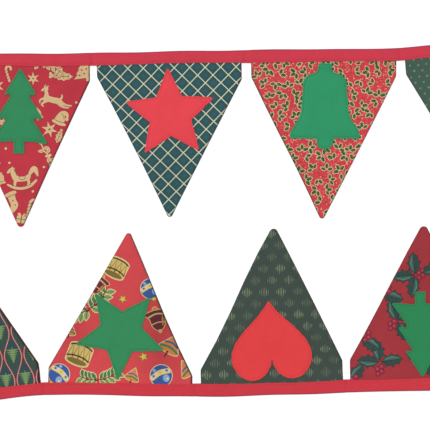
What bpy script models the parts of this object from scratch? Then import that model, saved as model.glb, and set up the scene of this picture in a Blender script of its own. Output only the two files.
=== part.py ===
# Christmas bunting: eight two-layer pennants on one folded tape, laid back on itself in a U.
# Metres, +Z up. Everything lies on Z = 0, and the origin is the middle of the outline there.
# +X runs along the two straight stretches of tape, and the turn between them is at -X.

from bisect import bisect_right
from math import atan, ceil, cos, exp, pi, radians, sin, tan

import bmesh
import bpy
from mathutils import Vector

MM = 0.001

# Layers
CLOTH = 1.0 * MM  # thickness of a panel, of a felt shape and of each leaf of the tape
AIR = 0.3 * MM  # space between two layers
FELT_AIR = 0.5 * MM  # space under a felt shape, which is cut across the panel's facets

# Tape: one strip folded along its outer edge over the top edges of the pennants
TAPE_WIDTH = 14.0 * MM
FOLD_WALL = 1.4 * MM  # cloth in the fold itself
FOLD_CHAMFER = 0.8 * MM
FULL_TAPE = 4 * CLOTH + 3 * AIR  # height with a pennant inside
EMPTY_TAPE = 2 * CLOTH + AIR  # height with nothing inside
GRIP_MARGIN = 1.0 * MM  # how far the full height reaches past a pennant
RAMP = 3.2 * MM  # from the full height down to the empty one
RAMP_STEPS = 3
PENNANT_STEP = 24.0 * MM  # between two sections where the tape holds a pennant
FREE_STEP = 12.0 * MM  # between two sections in the turn and the tails
MIN_STEP = 1.0 * MM  # two sections never stand closer than this
ROUTE_STEP = 2.0 * MM  # fineness of the line that the sections are placed on
SECTION_FACES = ((0, 1, 8, 9), (1, 2, 8), (2, 3, 7, 8), (3, 4, 7), (4, 5, 6, 7))  # at an end

# Pennants
TUCK = 9.0 * MM  # how far a pennant's top edge reaches into the tape
CHEEK_RADIUS = 7.0 * MM  # corner between the short straight side and the long one
FACET = 22.0 * MM  # spacing of the cuts, the same in all layers, that let a sheet bend
CUT_SNAP = 0.1 * MM  # a corner this close to a cut counts as on it
DROP_START = 2.5 * MM  # a pennant leaves the tape's edge here
DROP_END = 14.0 * MM  # and touches the surface here
DROP_ROWS = (2.5 * MM, 6.0 * MM, 10.0 * MM, 14.0 * MM)
FOLD_FREE = 12.0 * MM  # no soft fold this close to the tape
FOLD_FADE = 18.0 * MM  # over this length a fold grows to its full height
ARC_STEPS = 3  # faces in a rounded corner
NEARLY_STRAIGHT = radians(88)  # half the angle of a corner too flat to round
SHAPE_TOP = 1.5 * MM  # a felt shape starts this far below the tape
SHAPE_PIVOT = 50.0  # a felt shape is tilted about this point below the tape, in mm

COTTON_ROUGHNESS = 0.85
FELT_ROUGHNESS = 0.95
TAPE_COLOUR = "#d03f50"

# Middle line of the tape, seen from above, from the end of the upper stretch to the end
# of the lower one. Columns: x, y in mm, before the whole is moved onto the origin.
ROUTE = (
    (425.0, 198.6),
    (371.0, 195.2),
    (291.0, 187.8),
    (240.0, 182.9),
    (206.5, 179.6),
    (122.8, 178.3),
    (35.7, 177.2),
    (-50.2, 176.1),
    (-136.2, 173.9),
    (-217.7, 173.1),
    (-310.0, 172.8),
    (-360.5, 166.8),
    (-407.5, 148.8),
    (-447.9, 120.0),
    (-478.9, 82.5),
    (-498.4, 38.8),
    (-505.0, -8.0),
    (-501.0, -56.0),
    (-486.2, -111.5),
    (-455.0, -166.6),
    (-412.9, -202.5),
    (-380.0, -213.2),
    (-353.8, -213.2),
    (-274.4, -203.8),
    (-240.0, -199.4),
    (-191.0, -194.3),
    (-173.1, -193.7),
    (-117.2, -194.6),
    (-21.2, -195.6),
    (16.7, -195.3),
    (61.4, -194.3),
    (106.1, -193.1),
    (146.3, -191.3),
    (206.5, -189.9),
    (240.0, -189.3),
    (310.4, -188.6),
    (382.0, -191.6),
)

# Pennants in their order along the tape. x, y: middle of the line where the pennant leaves
# the tape; turn: direction of that line; width, length: outside sizes; lean: how far the
# tip lies to one side; cheek: straight side; bow, sway: one-sided and S-shaped bulge of the
# long side; peek: rim of backing that shows, each of these at -u and at +u; tip: radius.
# Lengths in mm, angles in degrees.
PENNANTS = (
    dict(name="dot", ground="#435d4f", backing="#8d2f3c", x=291.6, y=180.7, turn=185.5,
         width=159.7, length=173.7, lean=0.1, cheek=(17.0, 16.0), bow=(0.0, 0.3), sway=(0.0, 0.0),
         peek=(0.5, 0.0), tip=4.0, shape="heart", tilt=1.5, felt="#e5494b"),
    dict(name="leaf", ground="#d84148", backing="#2e5340", x=121.7, y=171.2, turn=180.95,
         width=161.2, length=175.2, lean=5.1, cheek=(17.2, 16.0), bow=(0.6, -0.6), sway=(0.0, 0.5),
         peek=(0.0, 0.7), tip=3.0, shape="bell", tilt=-1.0, felt="#329768"),
    dict(name="lattice", ground="#2f5c5c", backing="#a23a45", x=-51.3, y=168.4, turn=180.95,
         width=160.9, length=170.9, lean=2.2, cheek=(18.0, 13.0), bow=(-0.4, -1.3), sway=(0.0, 0.0),
         peek=(0.5, 0.3), tip=3.0, shape="star", tilt=2.0, felt="#e6474f"),
    dict(name="gold", ground="#c8374a", backing="#3b4c36", x=-218.2, y=166.3, turn=180.37,
         width=155.3, length=180.0, lean=-0.1, cheek=(17.0, 16.0), bow=(-0.9, -0.6), sway=(0.0, 0.0),
         peek=(0.6, 0.0), tip=3.8, shape="tree", tilt=-1.5, felt="#2d8f5d"),
    dict(name="ogee", ground="#34504e", backing="#6e2a33", x=-275.3, y=-196.8, turn=6.99,
         width=159.6, length=171.3, lean=0.2, cheek=(18.0, 21.5), bow=(0.2, -0.3), sway=(0.0, 0.0),
         peek=(0.0, 1.6), tip=4.0, shape="stocking", tilt=-2.0, felt="#e5494b"),
    dict(name="parcel", ground="#cf4848", backing="#2f5a41", x=-106.2, y=-187.8, turn=-0.72,
         width=159.4, length=167.8, lean=7.8, cheek=(16.5, 9.0), bow=(0.0, -1.5), sway=(0.0, -0.6),
         peek=(0.4, 1.2), tip=3.0, shape="star", tilt=-3.0, felt="#349160"),
    dict(name="dash", ground="#3b4d45", backing="#a8434d", x=63.4, y=-186.6, turn=1.58,
         width=158.3, length=171.0, lean=7.0, cheek=(15.6, 22.0), bow=(0.2, 0.6), sway=(-1.5, 0.0),
         peek=(0.0, 0.5), tip=4.5, shape="heart", tilt=2.0, felt="#e5494b"),
    dict(name="sprig", ground="#a0343b", backing="#26382d", x=230.7, y=-183.4, turn=0.6,
         width=159.3, length=170.8, lean=4.4, cheek=(22.4, 18.0), bow=(0.0, 0.3), sway=(-0.5, 0.0),
         peek=(0.0, 1.0), tip=4.5, shape="tree", tilt=1.0, felt="#328554"),
)

# Soft folds of the pennants: a ridge from (u0, v0) to (u1, v1). Lengths in mm.
FOLDS = (
    dict(pennant="dot", u0=-40, v0=30, u1=-6, v1=120, spread=17, height=1.0),
    dict(pennant="dot", u0=0, v0=160, u1=1, v1=182, spread=15, height=1.4),
    dict(pennant="leaf", u0=48, v0=34, u1=22, v1=104, spread=18, height=1.1),
    dict(pennant="leaf", u0=-62, v0=26, u1=-38, v1=62, spread=14, height=0.9),
    dict(pennant="lattice", u0=30, v0=60, u1=8, v1=150, spread=18, height=0.9),
    dict(pennant="lattice", u0=-66, v0=20, u1=-52, v1=40, spread=13, height=1.0),
    dict(pennant="gold", u0=-30, v0=44, u1=-12, v1=128, spread=17, height=1.0),
    dict(pennant="gold", u0=0, v0=166, u1=0, v1=188, spread=15, height=1.6),
    dict(pennant="ogee", u0=44, v0=30, u1=20, v1=96, spread=18, height=1.0),
    dict(pennant="ogee", u0=-20, v0=90, u1=-4, v1=150, spread=16, height=0.8),
    dict(pennant="parcel", u0=50, v0=28, u1=40, v1=88, spread=20, height=1.3),
    dict(pennant="parcel", u0=8, v0=154, u1=8, v1=176, spread=14, height=1.5),
    dict(pennant="dash", u0=-44, v0=52, u1=-24, v1=84, spread=15, height=1.1),
    dict(pennant="dash", u0=34, v0=70, u1=14, v1=140, spread=17, height=0.9),
    dict(pennant="sprig", u0=-36, v0=36, u1=-10, v1=120, spread=18, height=1.0),
    dict(pennant="sprig", u0=52, v0=24, u1=38, v1=60, spread=14, height=0.9),
)

# Felt shapes, hanging upright from the tape: v is the distance below it. Columns: u, v,
# corner radius in mm. A symmetrical shape lists its +u half from top to bottom.
STAR = dict(points=5, middle=56.0, outer=53.0, inner=24.5, radius=1.6)
HEART = dict(width=90.0, top=3.0, height=92.0, points=28)
BELL = (
    (7.5, 2.0, 3.0),
    (7.5, 11.0, 4.0),
    (24.0, 17.0, 13.0),
    (26.5, 60.0, 30.0),
    (38.5, 78.0, 3.0),
    (38.5, 86.0, 2.0),
    (9.0, 86.0, 1.5),
    (9.0, 98.0, 8.0),
)
TREE = (
    (0.0, 2.0, 1.5),
    (19.0, 33.0, 1.5),
    (9.5, 31.5, 1.5),
    (26.5, 60.0, 1.5),
    (14.0, 58.0, 1.5),
    (33.0, 87.0, 1.5),
    (6.0, 84.0, 1.0),
    (6.0, 98.0, 1.0),
)
STOCKING = (
    (-19.0, 2.0, 2.0),
    (17.0, 2.0, 2.0),
    (17.0, 16.0, 2.0),
    (14.5, 18.0, 2.0),
    (14.5, 54.0, 12.0),
    (33.0, 64.0, 12.0),
    (37.0, 79.0, 8.0),
    (29.0, 91.0, 9.0),
    (4.0, 89.0, 12.0),
    (-20.0, 94.0, 14.0),
    (-17.0, 66.0, 20.0),
    (-16.5, 18.0, 2.0),
    (-19.0, 16.0, 2.0),
)


def clear_scene():
    for old in list(bpy.data.objects):
        bpy.data.objects.remove(old, do_unlink=True)


def linear(hex_colour):
    """An sRGB hex colour as linear RGBA."""
    channels = [int(hex_colour[i:i + 2], 16) / 255 for i in (1, 3, 5)]
    return [((c + 0.055) / 1.055) ** 2.4 if c > 0.04045 else c / 12.92 for c in channels] + [1.0]


def cloth_material(name, hex_colour, roughness):
    material = bpy.data.materials.new(name)
    material.use_nodes = True
    shader = material.node_tree.nodes["Principled BSDF"]
    shader.inputs["Base Color"].default_value = linear(hex_colour)
    shader.inputs["Roughness"].default_value = roughness
    shader.inputs["Metallic"].default_value = 0.0
    return material


def add_object(name, bm, material):
    """Close the bmesh into an object of its own, faces outwards."""
    bmesh.ops.recalc_face_normals(bm, faces=bm.faces[:])
    mesh = bpy.data.meshes.new(name)
    bm.to_mesh(mesh)
    bm.free()
    mesh.materials.append(material)
    piece = bpy.data.objects.new(name, mesh)
    bpy.context.collection.objects.link(piece)
    return piece


def smooth_line(points, step):
    """Points about one step apart on a smooth curve through the given ones."""
    knots = [Vector(p) for p in points]
    spans = [(b - a).length for a, b in zip(knots, knots[1:])]
    slopes = [(b - a) / d for a, b, d in zip(knots, knots[1:], spans)]
    tangents = [slopes[0]]
    for i in range(1, len(slopes)):
        weight = spans[i - 1] / (spans[i - 1] + spans[i])
        tangents.append(slopes[i - 1].lerp(slopes[i], weight))
    tangents.append(slopes[-1])
    line = []
    for i, span in enumerate(spans):
        count = max(1, round(span / step))
        for k in range(count):
            t = k / count
            line.append(knots[i] * (1 + 2 * t) * (1 - t) ** 2
                        + knots[i + 1] * t * t * (3 - 2 * t)
                        + tangents[i] * span * t * (1 - t) ** 2
                        + tangents[i + 1] * span * t * t * (t - 1))
    line.append(knots[-1])
    return line


def rounded(corners, steps=ARC_STEPS):
    """A closed outline whose corners, given as (u, v, radius), are turned into arcs."""
    outline = []
    for i, (u, v, radius) in enumerate(corners):
        corner = Vector((u, v))
        before = (Vector(corners[i - 1][:2]) - corner).normalized()
        after = (Vector(corners[(i + 1) % len(corners)][:2]) - corner).normalized()
        half = before.angle(after) / 2
        if radius == 0 or half > NEARLY_STRAIGHT:
            outline.append(corner)
            continue
        centre = corner + (before + after).normalized() * radius / sin(half)
        first = corner + before * radius / tan(half) - centre
        last = corner + after * radius / tan(half) - centre
        turn = first.angle_signed(last)
        for k in range(steps + 1):
            angle = -turn * k / steps
            outline.append(centre + Vector((first.x * cos(angle) - first.y * sin(angle),
                                            first.x * sin(angle) + first.y * cos(angle))))
    return outline


def mirrored(half):
    """The whole outline of a symmetrical shape from its +u half."""
    other = [(-u, v, radius) for u, v, radius in reversed(half) if u > 0]
    return list(half) + other


def star_outline():
    corners = []
    for k in range(2 * STAR["points"]):
        reach = STAR["inner"] if k % 2 else STAR["outer"]
        angle = pi * k / STAR["points"] - pi / 2
        corners.append((reach * cos(angle), STAR["middle"] + reach * sin(angle),
                        0.0 if k % 2 else STAR["radius"]))
    return rounded(corners, 2)


def heart_outline():
    """The usual heart curve, scaled to its width and height, point downwards."""
    curve = []
    for k in range(HEART["points"]):
        a = 2 * pi * k / HEART["points"]
        curve.append(Vector((16 * sin(a) ** 3,
                             13 * cos(a) - 5 * cos(2 * a) - 2 * cos(3 * a) - cos(4 * a))))
    high = max(p.y for p in curve)
    low = min(p.y for p in curve)
    wide = max(p.x for p in curve)
    return [Vector((p.x * HEART["width"] / 2 / wide,
                    HEART["top"] + (high - p.y) / (high - low) * HEART["height"])) for p in curve]


def shape_outline(kind, tilt):
    """The outline of a felt shape in metres, turned a little about its middle."""
    outlines = dict(star=star_outline, heart=heart_outline,
                    bell=lambda: rounded(mirrored(BELL)),
                    tree=lambda: rounded(mirrored(TREE), 1),
                    stocking=lambda: rounded(STOCKING))
    outline = outlines[kind]()
    middle = Vector((0.0, SHAPE_PIVOT))
    angle = radians(tilt)
    turned = []
    for point in outline:
        arm = point - middle
        turned.append((middle + Vector((arm.x * cos(angle) - arm.y * sin(angle),
                                        arm.x * sin(angle) + arm.y * cos(angle)))) * MM)
    top = min(p.y for p in turned)
    slide = Vector((0.0, max(0.0, SHAPE_TOP - top)))
    return [p + slide for p in turned]


def pennant_outline(pennant, peek=(0.0, 0.0)):
    """The outline of one panel in metres: tucked edge, cheeks, long sides and round tip."""
    half_width = pennant["width"] / 2
    taper = atan(half_width / (pennant["length"] - sum(pennant["cheek"]) / 2))
    apex = Vector((pennant["lean"] + (peek[1] - peek[0]) / 2,
                   pennant["length"] + pennant["tip"] * (1 / sin(taper) - 1)))
    tuck = TUCK / MM
    sides = []
    for k, sign in enumerate((-1, 1)):
        edge = sign * (half_width + peek[k])
        cheek = pennant["cheek"][k]
        side = [(edge, -tuck, 0.0), (edge, cheek, CHEEK_RADIUS / MM)]
        for t in (0.2, 0.4, 0.6, 0.8):
            bulge = pennant["bow"][k] * 4 * t * (1 - t) + pennant["sway"][k] * sin(2 * pi * t)
            side.append((edge + (apex.x - edge) * t + sign * bulge,
                         cheek + (apex.y - cheek) * t, 0.0))
        sides.append(side)
    corners = sides[1] + [(apex.x, apex.y, pennant["tip"])] + sides[0][::-1]
    return [p * MM for p in rounded(corners)]


def drop(v):
    """Height of a pennant's underside above the surface at the distance v from the tape."""
    t = min(1.0, max(0.0, (v - DROP_START) / (DROP_END - DROP_START)))
    return (CLOTH + AIR) * (1 - t * t * (3 - 2 * t))


def fold_height(name, point):
    """Height of the soft folds of one pennant at a point of it."""
    grow = min(1.0, max(0.0, (point.y - FOLD_FREE) / FOLD_FADE))
    height = 0.0
    for fold in FOLDS:
        if fold["pennant"] != name:
            continue
        start = Vector((fold["u0"], fold["v0"])) * MM
        ridge = Vector((fold["u1"], fold["v1"])) * MM - start
        along = min(1.0, max(0.0, (point - start).dot(ridge) / ridge.length_squared))
        away = (point - start - ridge * along).length / (fold["spread"] * MM)
        height += fold["height"] * MM * exp(-away * away)
    return height * grow * grow * (3 - 2 * grow)


def cut(bm, faces, place, normal):
    """Split the given faces where a plane crosses them."""
    parts = set(faces)
    for face in faces:
        parts.update(face.verts)
        parts.update(face.edges)
    bmesh.ops.bisect_plane(bm, geom=list(parts), dist=CUT_SNAP, plane_co=place,
                           plane_no=normal)


def laid_sheet(name, outline, layer, pennant, material):
    """A sheet of cloth cut to the outline and laid over the folds of its pennant."""
    bm = bmesh.new()
    bm.faces.new([bm.verts.new((p.x, p.y, 0.0)) for p in outline])
    width = max(abs(p.x) for p in outline)
    length = max(p.y for p in outline)
    for v in list(DROP_ROWS) + [DROP_END + FACET * k for k in range(1, ceil(length / FACET))]:
        cut(bm, bm.faces[:], (0.0, v, 0.0), (0.0, 1.0, 0.0))
    for k in range(-ceil((width + length) / FACET), ceil(width / FACET) + 1):
        for normal in ((1.0, 0.0, 0.0), (1.0, -1.0, 0.0)):
            laid = [f for f in bm.faces if f.calc_center_median().y > DROP_END]
            cut(bm, laid, (FACET * k, DROP_END, 0.0), normal)
    bmesh.ops.triangulate(bm, faces=bm.faces[:])
    for vert in bm.verts:
        vert.co.z = layer + drop(vert.co.y) + fold_height(pennant["name"], vert.co.xy)
    top = bmesh.ops.extrude_face_region(bm, geom=bm.faces[:])["geom"]
    for item in top:
        if isinstance(item, bmesh.types.BMVert):
            item.co.z += CLOTH
    piece = add_object(name, bm, material)
    piece.location = (pennant["x"] * MM, pennant["y"] * MM, 0.0)
    piece.rotation_euler = (0.0, 0.0, radians(pennant["turn"]))
    return piece


def add_pennant(pennant):
    """The backing, the printed front and the felt shape of one pennant."""
    name = pennant["name"]
    step = CLOTH + AIR
    backing = cloth_material("backing cotton " + name, pennant["backing"], COTTON_ROUGHNESS)
    ground = cloth_material("printed cotton " + name, pennant["ground"], COTTON_ROUGHNESS)
    felt = cloth_material("felt " + name, pennant["felt"], FELT_ROUGHNESS)
    shape = shape_outline(pennant["shape"], pennant["tilt"])
    return [
        laid_sheet("back_" + name, pennant_outline(pennant, pennant["peek"]), 0.0, pennant,
                   backing),
        laid_sheet("front_" + name, pennant_outline(pennant), step, pennant, ground),
        laid_sheet("shape_" + name, shape, step + CLOTH + FELT_AIR, pennant, felt),
    ]


def grip_spans(line, distance):
    """The stretches of the tape, as distances along it, that hold a pennant."""
    spans = []
    for pennant in PENNANTS:
        along = Vector((cos(radians(pennant["turn"])), sin(radians(pennant["turn"]))))
        middle = Vector((pennant["x"], pennant["y"])) * MM
        ends = []
        for side in (-1, 1):
            corner = middle + along * side * pennant["width"] / 2 * MM
            nearest = min(range(len(line)), key=lambda i: (line[i] - corner).length)
            offset = (corner - line[nearest]).dot(line_direction(line, nearest))
            ends.append(distance[nearest] + offset)
        spans.append((min(ends), max(ends)))
    return spans


def line_direction(line, i):
    return (line[min(i + 1, len(line) - 1)] - line[max(i - 1, 0)]).normalized()


def tape_height(place, spans):
    """Outside height of the tape: full round a pennant, nearly closed between two."""
    away = min(max(start - place, place - end, 0.0) for start, end in spans)
    t = min(1.0, max(0.0, (away - GRIP_MARGIN) / RAMP))
    return FULL_TAPE + (EMPTY_TAPE - FULL_TAPE) * t * t * (3 - 2 * t)


def tape_stations(length, spans):
    """Where along the tape its sections stand, closest together at the ramps."""
    stations = [0.0]
    for start, end in spans:
        low = start - GRIP_MARGIN
        high = end + GRIP_MARGIN
        free = low - RAMP - stations[-1]
        count = max(1, ceil(free / FREE_STEP))
        stations += [stations[-1] + free * k / count for k in range(1, count)]
        stations += [low - RAMP * (1 - k / RAMP_STEPS) for k in range(RAMP_STEPS)]
        count = ceil((high - low) / PENNANT_STEP)
        stations += [low + (high - low) * k / count for k in range(count + 1)]
        stations += [high + RAMP * k / RAMP_STEPS for k in range(1, RAMP_STEPS + 1)]
    free = length - stations[-1]
    count = ceil(free / FREE_STEP)
    stations += [stations[-1] + free * k / count for k in range(1, count + 1)]
    ordered = sorted(stations)
    kept = [ordered[0]]
    for place in ordered[1:]:
        if place - kept[-1] > MIN_STEP:
            kept.append(place)
    return kept


def tape_section(height):
    """The folded strip, cut across: (distance from the inner edge, height) all round it."""
    fold = TAPE_WIDTH - FOLD_WALL
    bend = TAPE_WIDTH - FOLD_CHAMFER
    return ((0.0, 0.0), (bend, 0.0), (TAPE_WIDTH, FOLD_CHAMFER),
            (TAPE_WIDTH, height - FOLD_CHAMFER), (bend, height), (0.0, height),
            (0.0, height - CLOTH), (fold, height - CLOTH), (fold, CLOTH), (0.0, CLOTH))


def add_tape():
    """The tape along the whole route, lapped over the tucked edges of the pennants."""
    line = smooth_line([(x * MM, y * MM) for x, y in ROUTE], ROUTE_STEP)
    distance = [0.0]
    for a, b in zip(line, line[1:]):
        distance.append(distance[-1] + (b - a).length)
    spans = grip_spans(line, distance)
    bm = bmesh.new()
    rings = []
    for place in tape_stations(distance[-1], spans):
        i = min(bisect_right(distance, place) - 1, len(line) - 2)
        t = (place - distance[i]) / (distance[i + 1] - distance[i])
        centre = line[i].lerp(line[i + 1], t)
        direction = line_direction(line, i).lerp(line_direction(line, i + 1), t).normalized()
        outward = Vector((direction.y, -direction.x))
        ring = []
        for across, height in tape_section(tape_height(place, spans)):
            spot = centre + outward * (across - TAPE_WIDTH / 2)
            ring.append(bm.verts.new((spot.x, spot.y, height)))
        rings.append(ring)
    for first, second in zip(rings, rings[1:]):
        for k in range(len(first)):
            after = (k + 1) % len(first)
            bm.faces.new((first[k], first[after], second[after], second[k]))
    for ring in (rings[0], rings[-1]):
        for corners in SECTION_FACES:
            bm.faces.new([ring[k] for k in corners])
    bmesh.ops.triangulate(bm, faces=bm.faces[:])
    cotton = cloth_material("folded cotton tape", TAPE_COLOUR, COTTON_ROUGHNESS)
    return add_object("tape", bm, cotton)


def centre_on_origin(tape, pieces):
    """Move all pieces so that the middle of the tape's outline lies on the origin."""
    xs = [vert.co.x for vert in tape.data.vertices]
    ys = [vert.co.y for vert in tape.data.vertices]
    middle = Vector(((min(xs) + max(xs)) / 2, (min(ys) + max(ys)) / 2, 0.0))
    for piece in pieces:
        piece.location -= middle


def build():
    clear_scene()
    tape = add_tape()
    pieces = [tape]
    for pennant in PENNANTS:
        pieces += add_pennant(pennant)
    centre_on_origin(tape, pieces)


build()
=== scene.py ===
from math import atan, ceil, cos, exp, pi, radians, sin, sqrt, tan
from random import Random

import bmesh
import bpy
import numpy as np
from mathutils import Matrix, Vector
from mathutils.geometry import delaunay_2d_cdt


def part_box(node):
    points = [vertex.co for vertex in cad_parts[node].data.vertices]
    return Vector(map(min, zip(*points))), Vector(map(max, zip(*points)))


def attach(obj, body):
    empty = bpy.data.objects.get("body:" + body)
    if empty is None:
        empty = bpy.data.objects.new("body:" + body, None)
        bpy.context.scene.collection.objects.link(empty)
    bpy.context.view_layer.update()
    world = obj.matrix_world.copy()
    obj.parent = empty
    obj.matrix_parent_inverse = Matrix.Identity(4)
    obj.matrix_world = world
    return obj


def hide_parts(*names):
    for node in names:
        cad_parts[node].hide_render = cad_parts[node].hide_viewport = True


# Christmas bunting: eight turned cotton pennants, each with a felt shape sewn on, in one folded
# cotton tape that is laid back on itself in a U. Plan sizes are in mm, meshes in metres.
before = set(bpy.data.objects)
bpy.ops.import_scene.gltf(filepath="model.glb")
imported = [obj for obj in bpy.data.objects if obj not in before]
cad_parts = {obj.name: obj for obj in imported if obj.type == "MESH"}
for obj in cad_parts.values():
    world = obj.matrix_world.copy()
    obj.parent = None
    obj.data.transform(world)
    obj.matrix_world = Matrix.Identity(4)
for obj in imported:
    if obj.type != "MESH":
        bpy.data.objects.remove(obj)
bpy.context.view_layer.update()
mm = 0.001
print("frame loaded")

# Middle line of the tape in the plan, from the upper end round the turn to the lower end
route = (
    (425.0, 198.6), (371.0, 195.2), (291.0, 187.8), (240.0, 182.9), (206.5, 179.6), (122.8, 178.3),
    (35.7, 177.2), (-50.2, 176.1), (-136.2, 173.9), (-217.7, 173.1), (-310.0, 172.8),
    (-360.5, 166.8), (-407.5, 148.8), (-447.9, 120.0), (-478.9, 82.5), (-498.4, 38.8),
    (-505.0, -8.0), (-501.0, -56.0), (-486.2, -111.5), (-455.0, -166.6), (-412.9, -202.5),
    (-380.0, -213.2), (-353.8, -213.2), (-274.4, -203.8), (-240.0, -199.4), (-191.0, -194.3),
    (-173.1, -193.7), (-117.2, -194.6), (-21.2, -195.6), (16.7, -195.3), (61.4, -194.3),
    (106.1, -193.1), (146.3, -191.3), (206.5, -189.9), (240.0, -189.3), (310.4, -188.6),
    (382.0, -191.6),
)

# x, y and turn place the line where a pennant leaves the tape. A pennant's own axes are u along
# that line and v from the tape to the tip. Pairs are for the -u and the +u side.
pennants = (
    dict(name="dot", x=291.6, y=180.7, turn=185.5, width=159.7, length=173.7, lean=0.1,
         cheek=(17.0, 16.0), bow=(0.0, 0.3), sway=(0.0, 0.0), peek=(0.5, 0.0), tip=4.0,
         shape="heart", tilt=1.5, felt="red", back="red", slot="green_print"),
    dict(name="leaf", x=121.7, y=171.2, turn=180.95, width=161.2, length=175.2, lean=5.1,
         cheek=(17.2, 16.0), bow=(0.6, -0.6), sway=(0.0, 0.5), peek=(0.0, 0.7), tip=3.0,
         shape="bell", tilt=-1.0, felt="green", back="green", slot="red_print"),
    dict(name="lattice", x=-51.3, y=168.4, turn=180.95, width=160.9, length=170.9, lean=2.2,
         cheek=(18.0, 13.0), bow=(-0.4, -1.3), sway=(0.0, 0.0), peek=(0.5, 0.3), tip=3.0,
         shape="star", tilt=2.0, felt="red", back="red", slot="green_print"),
    dict(name="gold", x=-218.2, y=166.3, turn=180.37, width=155.3, length=180.0, lean=-0.1,
         cheek=(17.0, 16.0), bow=(-0.9, -0.6), sway=(0.0, 0.0), peek=(0.6, 0.0), tip=3.8,
         shape="tree", tilt=-1.5, felt="green", back="green", slot="red_print"),
    dict(name="ogee", x=-275.3, y=-196.8, turn=6.99, width=159.6, length=171.3, lean=0.2,
         cheek=(18.0, 21.5), bow=(0.2, -0.3), sway=(0.0, 0.0), peek=(0.0, 1.6), tip=4.0,
         shape="stocking", tilt=-2.0, felt="red", back="red", slot="green_print"),
    dict(name="parcel", x=-106.2, y=-187.8, turn=-0.72, width=159.4, length=167.8, lean=7.8,
         cheek=(16.5, 9.0), bow=(0.0, -1.5), sway=(0.0, -0.6), peek=(0.4, 1.2), tip=3.0,
         shape="star", tilt=-3.0, felt="green", back="green", slot="red_print"),
    dict(name="dash", x=63.4, y=-186.6, turn=1.58, width=158.3, length=171.0, lean=7.0,
         cheek=(15.6, 22.0), bow=(0.2, 0.6), sway=(-1.5, 0.0), peek=(0.0, 0.5), tip=4.5,
         shape="heart", tilt=2.0, felt="red", back="red", slot="green_print"),
    dict(name="sprig", x=230.7, y=-183.4, turn=0.6, width=159.3, length=170.8, lean=4.4,
         cheek=(22.4, 18.0), bow=(0.0, 0.3), sway=(-0.5, 0.0), peek=(0.0, 1.0), tip=4.5,
         shape="tree", tilt=1.0, felt="green", back="green", slot="wine_print"),
)

# Soft folds: a ridge from (u0, v0) to (u1, v1), how far it spreads and how high it is
folds = {
    "dot": ((-40, 30, -6, 120, 17, 1.0), (0, 160, 1, 182, 15, 1.4)),
    "leaf": ((48, 34, 22, 104, 18, 1.1), (-62, 26, -38, 62, 14, 0.9)),
    "lattice": ((30, 60, 8, 150, 18, 0.9), (-66, 20, -52, 40, 13, 1.0)),
    "gold": ((-30, 44, -12, 128, 17, 1.0), (0, 166, 0, 188, 15, 1.6)),
    "ogee": ((44, 30, 20, 96, 18, 1.0), (-20, 90, -4, 150, 16, 0.8)),
    "parcel": ((50, 28, 40, 88, 20, 1.3), (8, 154, 8, 176, 14, 1.5)),
    "dash": ((-44, 52, -24, 84, 15, 1.1), (34, 70, 14, 140, 17, 0.9)),
    "sprig": ((-36, 36, -10, 120, 18, 1.0), (52, 24, 38, 60, 14, 0.9)),
}


def linearColour(hexCode):
    channels = [int(hexCode[i:i + 2], 16) / 255 for i in (1, 3, 5)]
    return [((c + 0.055) / 1.055) ** 2.4 if c > 0.04045 else c / 12.92 for c in channels] + [1.0]


# Settings are the node's own options or its sockets' values; links go from a node or a socket
def addNode(tree, kind, settings=None, links=None):
    node = tree.nodes.new("ShaderNode" + kind)
    for key, value in (settings or {}).items():
        if isinstance(key, str) and key in node.bl_rna.properties:
            setattr(node, key, value)
        else:
            node.inputs[key].default_value = value
    for key, source in (links or {}).items():
        if isinstance(source, bpy.types.Node):
            source = next(s for s in source.outputs if s.enabled)
        tree.links.new(source, node.inputs[key])
    return node


# Camera straight above the photographed stretch. The picture is pictureWidth mm of plan wide.
cameraSetup = dict(pictureWidth=480.1, lens=85.0, sensor=36.0, clothTop=2.5)
studio = dict(sky=0.62, sun=1.38, sunAngle=38.0, sunFrom=(-0.36, 0.42, 0.83), floorDepth=0.0002,
              floor="#8e8e8e", floorGlow=0.84, floorSize=40.0)
# The press is how far the tape's upper leaf lies lower at the open edge where it grips a pennant,
# and how much more it does where it grips none
tapeSetup = dict(width=14.0, leaf=0.75, fullHeight=4.7, emptyHeight=3.3, ramp=6.6, step=2.4,
                 bend=1.35, foldSteps=8, wave=0.28, openWave=0.224, puff=0.16,
                 foldLengths=(30, 120), openLengths=(25, 90), puffLengths=(9, 30),
                 press=(0.38, 0.25), pressReach=3.0, pressUneven=0.2, pressPeriod=4.1,
                 groove=0.2, grooveWidth=0.55,
                 stitchIn=2.2, stitchPitch=3.0, stitchLength=2.5, stitchEnds=(3.0, 4.0),
                 # the fold colour and fold line are painted shade along the folded edge: its colour,
                 # where it starts and where it is full
                 colour="#cf3a4c", paleColour="#cd3743", foldShadeColour="#a2374f",
                 foldShadeLine=(2.2, 0.9), colourChange=120.0, threadColour="#b52c3f")


# A smooth line through points that lie unevenly far apart, with a place about every step
def smoothLine(points, step):
    knots = [Vector(p) for p in points]
    spans = [(b - a).length for a, b in zip(knots, knots[1:])]
    slopes = [(b - a) / d for a, b, d in zip(knots, knots[1:], spans)]
    tangents = [slopes[0]]
    for i in range(1, len(slopes)):
        tangents.append(slopes[i - 1].lerp(slopes[i], spans[i - 1] / (spans[i - 1] + spans[i])))
    tangents.append(slopes[-1])
    line = []
    for i, span in enumerate(spans):
        count = max(1, round(span / step))
        for k in range(count):
            t = k / count
            line.append(knots[i] * (1 + 2 * t) * (1 - t) ** 2
                        + knots[i + 1] * t * t * (3 - 2 * t)
                        + tangents[i] * span * t * (1 - t) ** 2
                        + tangents[i + 1] * span * t * t * (t - 1))
    line.append(knots[-1])
    return line


# Vectors made one long. One that is shorter than least is divided by least, so it stays short.
def unit(vectors, least=1e-6):
    return vectors / np.maximum(np.linalg.norm(vectors, axis=1), least)[:, None]


def leftOf(along):
    return np.stack([-along[:, 1], along[:, 0]], 1)


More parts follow.
